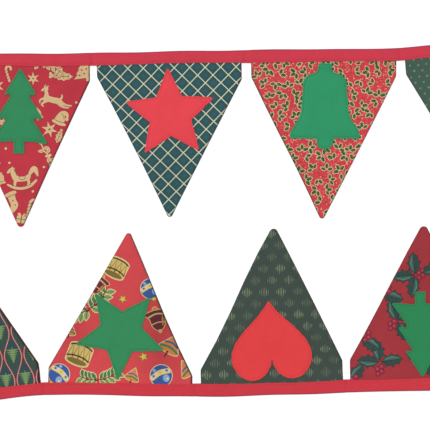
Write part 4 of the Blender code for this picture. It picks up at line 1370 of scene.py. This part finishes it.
# Stations along the tape: its middle, the way to its folded edge, its height and how its edges
# wander. It is thicker where it grips a pennant.
def tapeStations():
    look = tapeSetup
    length, grips = tapeDistance[-1], gripSpans()
    places = list(np.arange(0, length, look["step"])) + [length]
    for low, high in grips:
        for end, way in ((low, -1), (high, 1)):
            places += [end + way * look["ramp"] * k / 4 for k in range(5)]
    places = np.array(sorted(p for p in places if 0 <= p <= length))
    places = places[np.concatenate([[True], np.diff(places) > 0.3])]
    centre, out = [np.stack([np.interp(places, tapeDistance, line[:, k]) for k in (0, 1)], 1)
                   for line in (tapeLine, tapeOut)]
    away = np.full(len(places), np.inf)
    for low, high in grips:
        away = np.minimum(away, np.maximum(np.maximum(low - places, places - high), 0))
    grip = 1 - smoothStep(away, 0, look["ramp"])
    line = np.stack([places, np.zeros(len(places))], 1)
    return dict(places=places, centre=centre, out=unit(out), grip=grip,
                height=look["emptyHeight"] + (look["fullHeight"] - look["emptyHeight"]) * grip,
                foldEdge=look["wave"] * unevenness(line, "fold edge", *look["foldLengths"]),
                openEdge=look["openWave"] * unevenness(line, "open edge", *look["openLengths"]),
                puff=look["puff"] * unevenness(line, "puff", *look["puffLengths"]))


# Height of the upper leaf at x from the open edge: pressed down to that edge, with a groove along
# the sewing
def tapeTop(stations, place, x):
    look = tapeSetup
    height, grip, puff = [np.interp(place, stations["places"], stations[key])
                          for key in ("height", "grip", "puff")]
    pressed = look["press"][0] + look["press"][1] * (1 - grip)
    pressed *= 1 - look["pressUneven"] * sin(place / look["pressPeriod"])
    pressed *= exp(-(x / look["pressReach"]) ** 2)
    groove = look["groove"] * exp(-((x - look["stitchIn"]) / look["grooveWidth"]) ** 2)
    return height - groove - pressed + puff * sin(pi * min(1, x / look["width"]))


# The tape cut across, as (distance from the open edge, height): over the upper leaf, round the
# fold, back below the lower leaf, and the inside of both leaves
def tapeSection(stations, k):
    look = tapeSetup
    height, width, leaf = stations["height"][k], look["width"], look["leaf"]
    bend = min(look["bend"], height / 2)
    outside = [0.0, 0.25, 0.8, 1.5, look["stitchIn"], 3.0, 4.2, 6.0, 8.0, 10.0, 11.4]
    cutEdge = {0.0: 0.22, 0.25: 0.05}  # the open edge is rounded off by so much
    level = {x: tapeTop(stations, stations["places"][k], x) for x in outside + [width]}
    ring = [(x, level[x] - cutEdge.get(x, 0.0)) for x in outside]
    half = level[width] / 2
    for m in range(look["foldSteps"] + 1):
        a = pi * m / look["foldSteps"]
        ring.append((width - bend + bend * sin(a), half + half * cos(a)))
    ring += [(10.0, 0.0), (7.0, 0.0), (4.0, 0.0), (1.5, 0.0), (0.25, 0.02), (0.0, 0.2)]
    ring += [(0.0, leaf), (3.0, leaf), (8.0, leaf), (width - bend - leaf * 0.2, leaf)]
    inner = width - bend + max(0.15, bend - leaf)
    ring += [(inner, min(height / 2, leaf + 0.3)), (inner, max(height / 2, height - leaf - 0.3)),
             (width - bend - leaf * 0.2, height - leaf)]
    return ring + [(x, level[x] - leaf) for x in (8.0, 3.0, 1.5, 0.0)]


# The sewing runs near the open edge, from a little inside one end of the tape to the other
def tapeStitches(stations):
    look, rng, stitches = tapeSetup, Random("tape sewing"), []
    at, free = look["stitchEnds"]
    while at < tapeDistance[-1] - free:
        ends = []
        for place in (at, at + look["stitchLength"]):
            spot, side = [np.array([np.interp(place, stations["places"], stations[key][:, k])
                                    for k in (0, 1)]) for key in ("centre", "out")]
            inward = look["stitchIn"] + rng.uniform(-stitch["wander"], stitch["wander"])
            shift = np.interp(place, stations["places"], stations["openEdge"]) - look["width"] / 2
            ends.append((*(spot + side * (inward + shift)), tapeTop(stations, place, inward)))
        stitches.append(ends)
        at += look["stitchPitch"]
    return stitches


# Each station's section is joined to the next, and the two ends are closed. The points keep how
# far across the tape they are, for the painted shade along its fold.
def addTape():
    look, stations = tapeSetup, tapeStations()
    rings = [tapeSection(stations, k) for k in range(len(stations["places"]))]
    corners, polygons = [], []
    for k, ring in enumerate(rings):
        for x, z in ring:
            share = x / look["width"]
            shift = stations["openEdge"][k] * (1 - share) + stations["foldEdge"][k] * share
            spot = stations["centre"][k] + stations["out"][k] * (x - look["width"] / 2 + shift)
            corners.append((spot[0] * mm, spot[1] * mm, z * mm))
    count = len(rings[0])
    for k in range(len(rings) - 1):
        for m in range(count):
            a, b = k * count + m, k * count + (m + 1) % count
            polygons.append((a + count, b + count, b, a))
    mesh = bpy.data.meshes.new("foldedTape")
    mesh.from_pydata(corners, [], polygons)
    bm = bmesh.new()
    bm.from_mesh(mesh)
    bmesh.ops.holes_fill(bm, edges=[e for e in bm.edges if e.is_boundary], sides=0)
    bmesh.ops.triangulate(bm, faces=[f for f in bm.faces if len(f.verts) > 4])
    bmesh.ops.recalc_face_normals(bm, faces=bm.faces[:])
    bm.to_mesh(mesh)
    bm.free()
    across = mesh.attributes.new("across", "FLOAT", "POINT")
    across.data.foreach_set("value", [x for ring in rings for x, _ in ring])
    mesh.shade_smooth()
    mesh.set_sharp_from_angle(angle=radians(60))
    tape = addPiece("folded_tape", mesh, tapeCotton(), "tape")
    sewing = addPiece("sewing_tape", stitchMesh("sewingTape", tapeStitches(stations)),
                      thread("polyester sewing thread, tape", look["threadColour"]))


addTape()
print("tape made")
